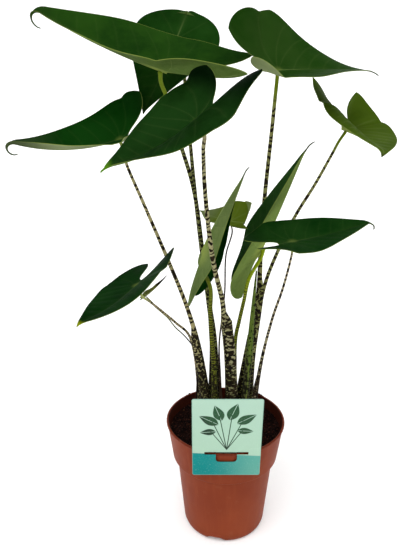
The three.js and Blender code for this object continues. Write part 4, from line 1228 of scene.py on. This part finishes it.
def soil_tree():
    """Scatters crumbs and fibres over the marked top of the peat."""
    tree = Growth("peat crumbs", {
        "Peat": "Geometry", "Crumbs per square metre": "Float", "Fibres per square metre": "Float",
        "Crumb radius": "Float", "Seed": "Int", "Finish": "Material"})
    peat, radius, seed = (tree.start.other(name) for name in ("Peat", "Crumb radius", "Seed"))
    on_top = tree.carried("top")

    def between(kind, low, high, number):
        """A random value for each crumb or fibre; the number gives each use a seed of its own."""
        first = 0 if kind == "FLOAT_VECTOR" else 2
        return tree.node("FunctionNodeRandomValue", {"data_type": kind}, {
            "Seed": seed + number, first: low, first + 1: high})

    def scattered(density, number, shape, scale, tilt):
        """Copies of a shape over the peat's top, turned any way and tilted up to tilt."""
        spots = tree.node("GeometryNodeDistributePointsOnFaces", {}, {
            "Mesh": peat, "Density": tree.start.other(density) * on_top, "Seed": seed + number})
        turn = between("FLOAT_VECTOR", (-tilt, -tilt, 0.0), (tilt, tilt, 2 * math.pi), number + 1)
        return tree.node("GeometryNodeInstanceOnPoints", {}, {
            "Points": spots, "Instance": shape, "Rotation": turn, "Scale": scale})

    lump = tree.node("GeometryNodeMeshIcoSphere", {}, {"Radius": radius, "Subdivisions": 1})
    dent = (tree.node("ShaderNodeTexNoise", {}, {"Scale": CRUMB_DENTS, "Detail": 2.0}) - 0.5) * radius * 1.4
    offset = tree.scaled(tree.node("GeometryNodeInputNormal"), dent)
    lump = tree.node("GeometryNodeSetPosition", {}, {"Geometry": lump, "Offset": offset})
    size = 0.45 + between("FLOAT", 0.0, 1.0, 3).math("POWER", 3.0) * 1.5
    stretch = tree.scaled(between("FLOAT_VECTOR", (0.7, 0.6, 0.35), (1.5, 1.2, 0.9), 4), size)
    crumbs = scattered("Crumbs per square metre", 11, lump, stretch, 3.1)
    line = tree.node("GeometryNodeMeshCylinder", {"fill_type": "NGON"}, {
        "Vertices": 4, "Side Segments": 1, "Radius": FIBRE_RADIUS, "Depth": FIBRE_LENGTH})
    flat = tree.node("GeometryNodeTransform", {}, {"Geometry": line, "Rotation": (0.0, math.pi / 2, 0.0)})
    drawn_out = between("FLOAT_VECTOR", (0.3, 0.7, 0.7), (1.3, 1.4, 1.4), 21)
    fibres = scattered("Fibres per square metre", 31, flat, drawn_out, 0.4)
    joined = tree.node("GeometryNodeJoinGeometry", {}, {0: [fibres, crumbs, peat]})
    return tree.close(joined, tree.start.other("Finish"))


def add_rim_crumbs(mesh):
    """A few crumbs left lying on the pot's rim."""
    shape = bmesh.new()
    shape.from_mesh(mesh)
    for number, (bearing, size) in enumerate(RIM_CRUMBS):
        reach = RIM_RADIUS - 0.4 * RIM_LIP + 0.5 * math.sin(3.1 * number)
        x, y = reach * math.cos(rad(bearing)), reach * math.sin(rad(bearing))
        place = Vector((x, y, POT_HEIGHT + 0.55 * size)) * MM
        lump = bmesh.ops.create_icosphere(shape, subdivisions=2, radius=size * MM)["verts"]
        for vertex in lump:
            rough = 1 + 0.35 * noise.noise(vertex.co * 900 + Vector((number, 0, 0)))
            vertex.co = place + Vector((vertex.co.x, vertex.co.y, vertex.co.z * 0.7)) * rough
    shape.to_mesh(mesh)
    shape.free()


def peat_height(x, y, share):
    """The mounded, lumpy top at a place that lies at a share of the way to the pot's wall."""
    lump_height, lump_scale = LUMPS
    grit_height, grit_scale = GRIT
    lumps = noise.fractal(Vector((x, y, 3.0)) * lump_scale, 1.0, 2.0, 3) * lump_height
    grit = noise.fractal(Vector((x, y, 9.0)) * grit_scale, 0.8, 2.0, 2) * grit_height
    lift = SOIL_MOUND * (1 - share ** 2) + (lumps + grit) * (1 if share < 1 else EDGE_LUMPS)
    return SOIL_LEVEL - SOIL_MOUND / 2 + lift


def soil_mesh(finish):
    """The filling of the pot: a lumpy mounded top with crumbs, and sides that follow the pot's inside."""
    points, top = [], []
    for ring in range(SOIL_RINGS + 1):
        share = ring / SOIL_RINGS
        radius = SOIL_EDGE_RADIUS * ring / SOIL_RINGS
        for x, y, _ in ring_of(radius, 0, SOIL_SIDES if ring else 1):
            points.append((x, y, peat_height(x, y, share)))
            top.append(1.0 if 0 < ring < SOIL_RINGS - 1 else 0.0)
    *below, bottom = inside_profile(SOIL_CLEARANCE)
    for radius, height in below:
        points += ring_of(radius, height, SOIL_SIDES)
    points.append((0, 0, bottom[1]))
    mesh = new_mesh("peat", points, turned_faces(SOIL_RINGS + len(below), SOIL_SIDES))
    add_rim_crumbs(mesh)
    set_values(mesh, "top", top + [0.0] * (len(mesh.vertices) - len(top)))
    return grown(mesh, soil_tree(), **{
        "Crumbs per square metre": CRUMBS_PER_AREA, "Fibres per square metre": FIBRES_PER_AREA,
        "Crumb radius": CRUMB_RADIUS, "Seed": PEAT_SEED, "Finish": finish})


def soil_paint():
    """Damp peat, nearly black, with brown and pale grit."""
    paint = Paint("damp peat")
    cloud = paint.noise(70.0, 4.0)
    grit = paint.noise(420.0, 4.0)
    tone = paint.mix(cloud.rise(0.35, 0.65), colour("080404"), colour("190b08"))
    tone = paint.mix(grit.rise(0.52, 0.64) * 0.8, tone, colour("3c1e16"))
    tone = paint.mix(grit.rise(0.64, 0.71) * 0.7, tone, colour("684838"))
    return paint.set(
        Base_Color=tone, Roughness=0.85 + grit * 0.1, Normal=paint.bump(grit, 0.0012, 0.8),
        Specular_IOR_Level=SOIL_SHEEN)


# Card

def card_place(x, height, depth):
    """A point of the leaning card, from where it lies on the flat card; depth runs toward the viewer."""
    lean = rad(CARD_LEAN)
    stand_off = RIM_RADIUS + RIM_GAP - (POT_HEIGHT - CARD_LOW_EDGE) * math.tan(lean)
    return Vector((
        x + CARD_SIDE_SHIFT,
        -stand_off - depth * math.cos(lean) - height * math.sin(lean),
        CARD_LOW_EDGE - depth * math.sin(lean) + height * math.cos(lean))) * MM


def corner_arc(x, y, radius, start, steps=6):
    """A quarter circle round a place, from the angle start on."""
    angles = [rad(start + 90 * i / steps) for i in range(steps + 1)]
    return [(x + radius * math.cos(a), y + radius * math.sin(a)) for a in angles]


def flat_card():
    """The card lying flat, with its slot cut out round the tongue."""
    half, c = CARD_WIDTH / 2, CARD_CORNER
    outline = (corner_arc(half - c, c, c, -90) + corner_arc(half - c, CARD_HEIGHT - c, c, 0)
               + corner_arc(-half + c, CARD_HEIGHT - c, c, 90) + corner_arc(-half + c, c, c, 180))
    low = (POT_HEIGHT - CARD_LOW_EDGE) / math.cos(rad(CARD_LEAN))
    slot, tongue, r = SLOT_WIDTH / 2, TONGUE_WIDTH / 2, TONGUE_CORNER
    opening = [(-slot, low + SLOT_HEIGHT), (-slot, low), (-tongue, low)]
    opening += corner_arc(-tongue + r, low - TONGUE_LENGTH + r, r, 180)
    opening += corner_arc(tongue - r, low - TONGUE_LENGTH + r, r, 270)
    opening += [(tongue, low), (slot, low), (slot, low + SLOT_HEIGHT)]
    curve = bpy.data.curves.new("card", "CURVE")
    curve.dimensions = "2D"
    curve.fill_mode = "BOTH"
    curve.extrude = CARD_THICKNESS / 2
    for ring in (outline, opening):
        line = curve.splines.new("POLY")
        line.points.add(len(ring) - 1)
        for point, (x, y) in zip(line.points, ring):
            point.co = (x, y, 0, 1)
        line.use_cyclic_u = True
    holder = placed("card flat", curve)
    mesh = final_mesh(holder)
    bpy.data.objects.remove(holder)
    return mesh


def card_mesh():
    """The card leaning on the rim, with its print's places as a UV map, and its tongue."""
    mesh = flat_card()
    flat = [v.co.copy() for v in mesh.vertices]
    shape = bmesh.new()
    for co in flat:
        shape.verts.new(card_place(co.x, co.y, co.z + CARD_THICKNESS / 2))
    shape.verts.ensure_lookup_table()
    spread = shape.loops.layers.uv.new("card")
    for face in mesh.polygons:
        made = shape.faces.new([shape.verts[i] for i in face.vertices])
        for loop, i in zip(made.loops, face.vertices):
            loop[spread].uv = (flat[i].x / CARD_WIDTH + 0.5, flat[i].y / CARD_HEIGHT)
    add_tongue(shape, spread)
    bmesh.ops.remove_doubles(shape, verts=shape.verts, dist=1e-6)
    bmesh.ops.recalc_face_normals(shape, faces=shape.faces)
    shape.to_mesh(mesh)
    shape.free()
    mesh.shade_flat()
    return mesh


def add_tongue(shape, spread):
    """The cut-out tongue, which runs from the slot's upper edge over the rim and down inside the pot."""
    lean = rad(CARD_LEAN)
    top = POT_HEIGHT + SLOT_HEIGHT * math.cos(lean)
    front = RIM_RADIUS + RIM_GAP + SLOT_HEIGHT * math.sin(lean) + CARD_THICKNESS / 2
    inside = RIM_RADIUS - RIM_LIP - TONGUE_INSIDE_RIM
    path = [
        (-front, top), (-front + 4, top - 0.6), (-inside - 4, POT_HEIGHT + 3),
        (-inside - 0.6, POT_HEIGHT + 1.4), (-inside, POT_HEIGHT - 2),
        (-inside + 0.4, POT_HEIGHT - TONGUE_BELOW_RIM)]
    thick = CARD_THICKNESS / 2
    rows = []
    for i, (y, z) in enumerate(path):
        ahead = np.array(path[min(i + 1, len(path) - 1)]) - np.array(path[max(i - 1, 0)])
        ahead = ahead / np.linalg.norm(ahead)
        row = []
        for hand, side in ((-1, -1), (-1, 1), (1, 1), (1, -1)):
            row.append(shape.verts.new(Vector((
                CARD_SIDE_SHIFT + hand * TONGUE_WIDTH / 2,
                y - ahead[1] * side * thick, z + ahead[0] * side * thick)) * MM))
        rows.append(row)
    quads = [rows[0], rows[-1][::-1]]
    for a, b in zip(rows, rows[1:]):
        quads += [[a[k], a[(k + 1) % 4], b[(k + 1) % 4], b[k]] for k in range(4)]
    for quad in quads:
        made = shape.faces.new(quad)
        for loop in made.loops:
            loop[spread].uv = PLAIN_GROUND


def drawn_leaf(x, y, cx, cy, turn, size, wide):
    """A printed leaf with a pale midrib, and its stem from the drawing's foot."""
    c, s = math.cos(rad(turn)), math.sin(rad(turn))
    along = (x - cx) * c + (y - cy) * s
    across = abs((y - cy) * c - (x - cx) * s)
    share = (along / size).below(1.0).above(-1.0)
    half_width = (1 - share * share) * (1.15 - share * 0.55) * wide
    leaf = (half_width - across).rise(0.0, 0.5) * across.rise(0.15, 0.5)
    dx, dy = cx - c * size * 0.4, cy - s * size * 0.4 - STEM_START
    run = ((x * dx + (y - STEM_START) * dy) / math.hypot(dx, dy) ** 2).above(0.0).below(1.0)
    off_x, off_y = x - run * dx, y - STEM_START - run * dy
    return leaf.above((off_x * off_x + off_y * off_y).math("SQRT").rise(0.75, 0.45))


def card_paint():
    """Coated card: pale upper part, teal foot fading sideways, and a plain drawing of leaves on stems."""
    paint = Paint("printed card")
    uv = paint.node("ShaderNodeUVMap", {"uv_map": "card"})
    x = (paint.axis(uv, "X") - 0.5) * CARD_WIDTH
    y = paint.axis(uv, "Y") * CARD_HEIGHT
    fibre = paint.noise(700.0, 3.0)
    cloud = paint.noise(14.0, 2.0)
    tone = paint.mix(y.rise(30.0, 130.0), colour("a2c2ac"), colour("a7c6b3"))
    foot = paint.mix(x.rise(-24.0, 44.0), colour("007a78"), colour("5c9c8e"))
    foot = paint.mix(y.rise(0.0, 36.0) * 0.15, foot, colour("3f9f98"))
    tone = paint.mix((y + x * 0.06).rise(TEAL_TOP, TEAL_TOP - 0.8), tone, foot)
    ink, *others = (drawn_leaf(x, y, *leaf) for leaf in DRAWN_LEAVES)
    for other in others:
        ink = ink.above(other)
    green = paint.mix(cloud.rise(0.4, 0.6), colour("0a2412"), colour("1c4424"))
    tone = paint.mix(ink * (0.9 + 0.1 * cloud), tone, green)
    edge = (abs(x) - CARD_WIDTH / 2 + CARD_BORDER).rise(-0.1, 0.1)
    edge = edge.above((abs(y - CARD_HEIGHT / 2) - CARD_HEIGHT / 2 + CARD_BORDER).rise(-0.1, 0.1))
    tone = paint.mix(edge * 0.5, tone, colour("7fa596"))
    tone = paint.mix(fibre.rise(0.55, 0.75) * 0.08, tone, colour("ffffff"))
    tone = paint.mix(cloud.rise(0.5, 0.8) * 0.05, tone, colour("7fb0a8"))
    return paint.set(
        Base_Color=tone, Roughness=0.42 + fibre * 0.12, Normal=paint.bump(fibre, 0.0001, 0.25),
        Specular_IOR_Level=CARD_SHEEN)


# Making the pieces

def make_camera():
    """The camera of the photograph, fitted to the pot's rim, collar and foot."""
    data = bpy.data.cameras.new("camera")
    data.lens = SENSOR * FOCAL_PIXELS / PHOTO_HEIGHT_PIXELS
    data.sensor_width = SENSOR
    data.sensor_fit = "AUTO"
    made = placed("camera", data)
    made.location = CAMERA_PLACE
    made.rotation_euler = (rad(90 - CAMERA_DOWN), 0, 0)
    bpy.context.scene.camera = made


def make_floor():
    """A pale floor that turns up into a round backdrop far off."""
    line = [(FLOOR_MIDDLE, 0.0), (FLOOR_REACH, 0.0)]
    line += [(FLOOR_REACH + BACKDROP_CURVE * math.sin(rad(a)), BACKDROP_CURVE * (1 - math.cos(rad(a))))
             for a in range(6, 91, 6)]
    line.append((FLOOR_REACH + BACKDROP_CURVE, BACKDROP_TOP))
    points = [(0.0, 0.0, FLOOR_DROP)]
    for reach, height in line:
        points += ring_of(reach, height + FLOOR_DROP, BACKDROP_SIDES)
    mesh = bpy.data.meshes.new("floor")
    mesh.from_pydata(points, [], turned_faces(len(line), BACKDROP_SIDES, closed=False))
    mesh.shade_smooth()
    paint = Paint("pale floor")
    mesh.materials.append(paint.set(
        Base_Color=(0.93, 0.93, 0.93, 1), Roughness=0.9, Specular_IOR_Level=0.1,
        Emission_Color=(1.0, 1.0, 1.0, 1.0), Emission_Strength=FLOOR_GLOW))
    placed("floor", mesh)


def make_light():
    """Soft studio light: a plain white world and broad lamps from both sides and above."""
    world = bpy.data.worlds.new("studio")
    world.use_nodes = True
    background = world.node_tree.nodes["Background"]
    background.inputs["Color"].default_value = (1.0, 1.0, 1.0, 1.0)
    background.inputs["Strength"].default_value = AMBIENT
    bpy.context.scene.world = world
    bpy.context.scene.view_settings.view_transform = "Standard"
    for name, (side, height), strength, width in LAMPS:
        data = bpy.data.lights.new(name, "SUN")
        data.energy = strength
        data.angle = rad(width)
        placed(name, data).rotation_euler = (rad(90 - height), 0, rad(side))


make_camera()
make_floor()
make_light()

dried = withered_paint()
for leaf_name, leaf_form in LEAVES.items():
    if leaf_name == "withered_leaf":
        blade_skin, blade_slot = dried, "withered_leaf"
    else:
        blade_skin = blade_paint(leaf_name.replace("_", " ") + " skin", leaf_form, *LEAF_TONES[leaf_name])
        blade_slot = "leaf_blade"
    blade_node = leaf_name + "_blade"
    piece("skin_" + blade_node, blade_mesh(leaf_form), blade_skin, blade_node, blade_slot)

for number, stalk_name in enumerate(STALKS):
    if stalk_name == "spear":
        stalk_skin, stalk_node, stalk_slot = spear_paint(), "spear", "young_leaf"
    elif stalk_name == "withered_leaf":
        stalk_skin, stalk_node, stalk_slot = dried, "withered_leaf_stalk", "withered_leaf"
    else:
        stalk_skin = stalk_paint(stalk_name.replace("_", " ") + " stalk skin", STALK_TONES[stalk_name],
                                 LEAF_TONES[stalk_name][2], STALKS[stalk_name]["dark"], 0.37 * number)
        stalk_node, stalk_slot = stalk_name + "_stalk", "leaf_stalk"
    piece("skin_" + stalk_node, stalk_mesh(stalk_name, stalk_skin), stalk_skin, stalk_node, stalk_slot)

piece("moulded_pot", pot_mesh(), pot_paint(), "pot", "pot_plastic")
peat = soil_paint()
piece("peat_filling", soil_mesh(peat), peat, "soil", "soil")
piece("hanging_card", card_mesh(), card_paint(), "label_card", "card")
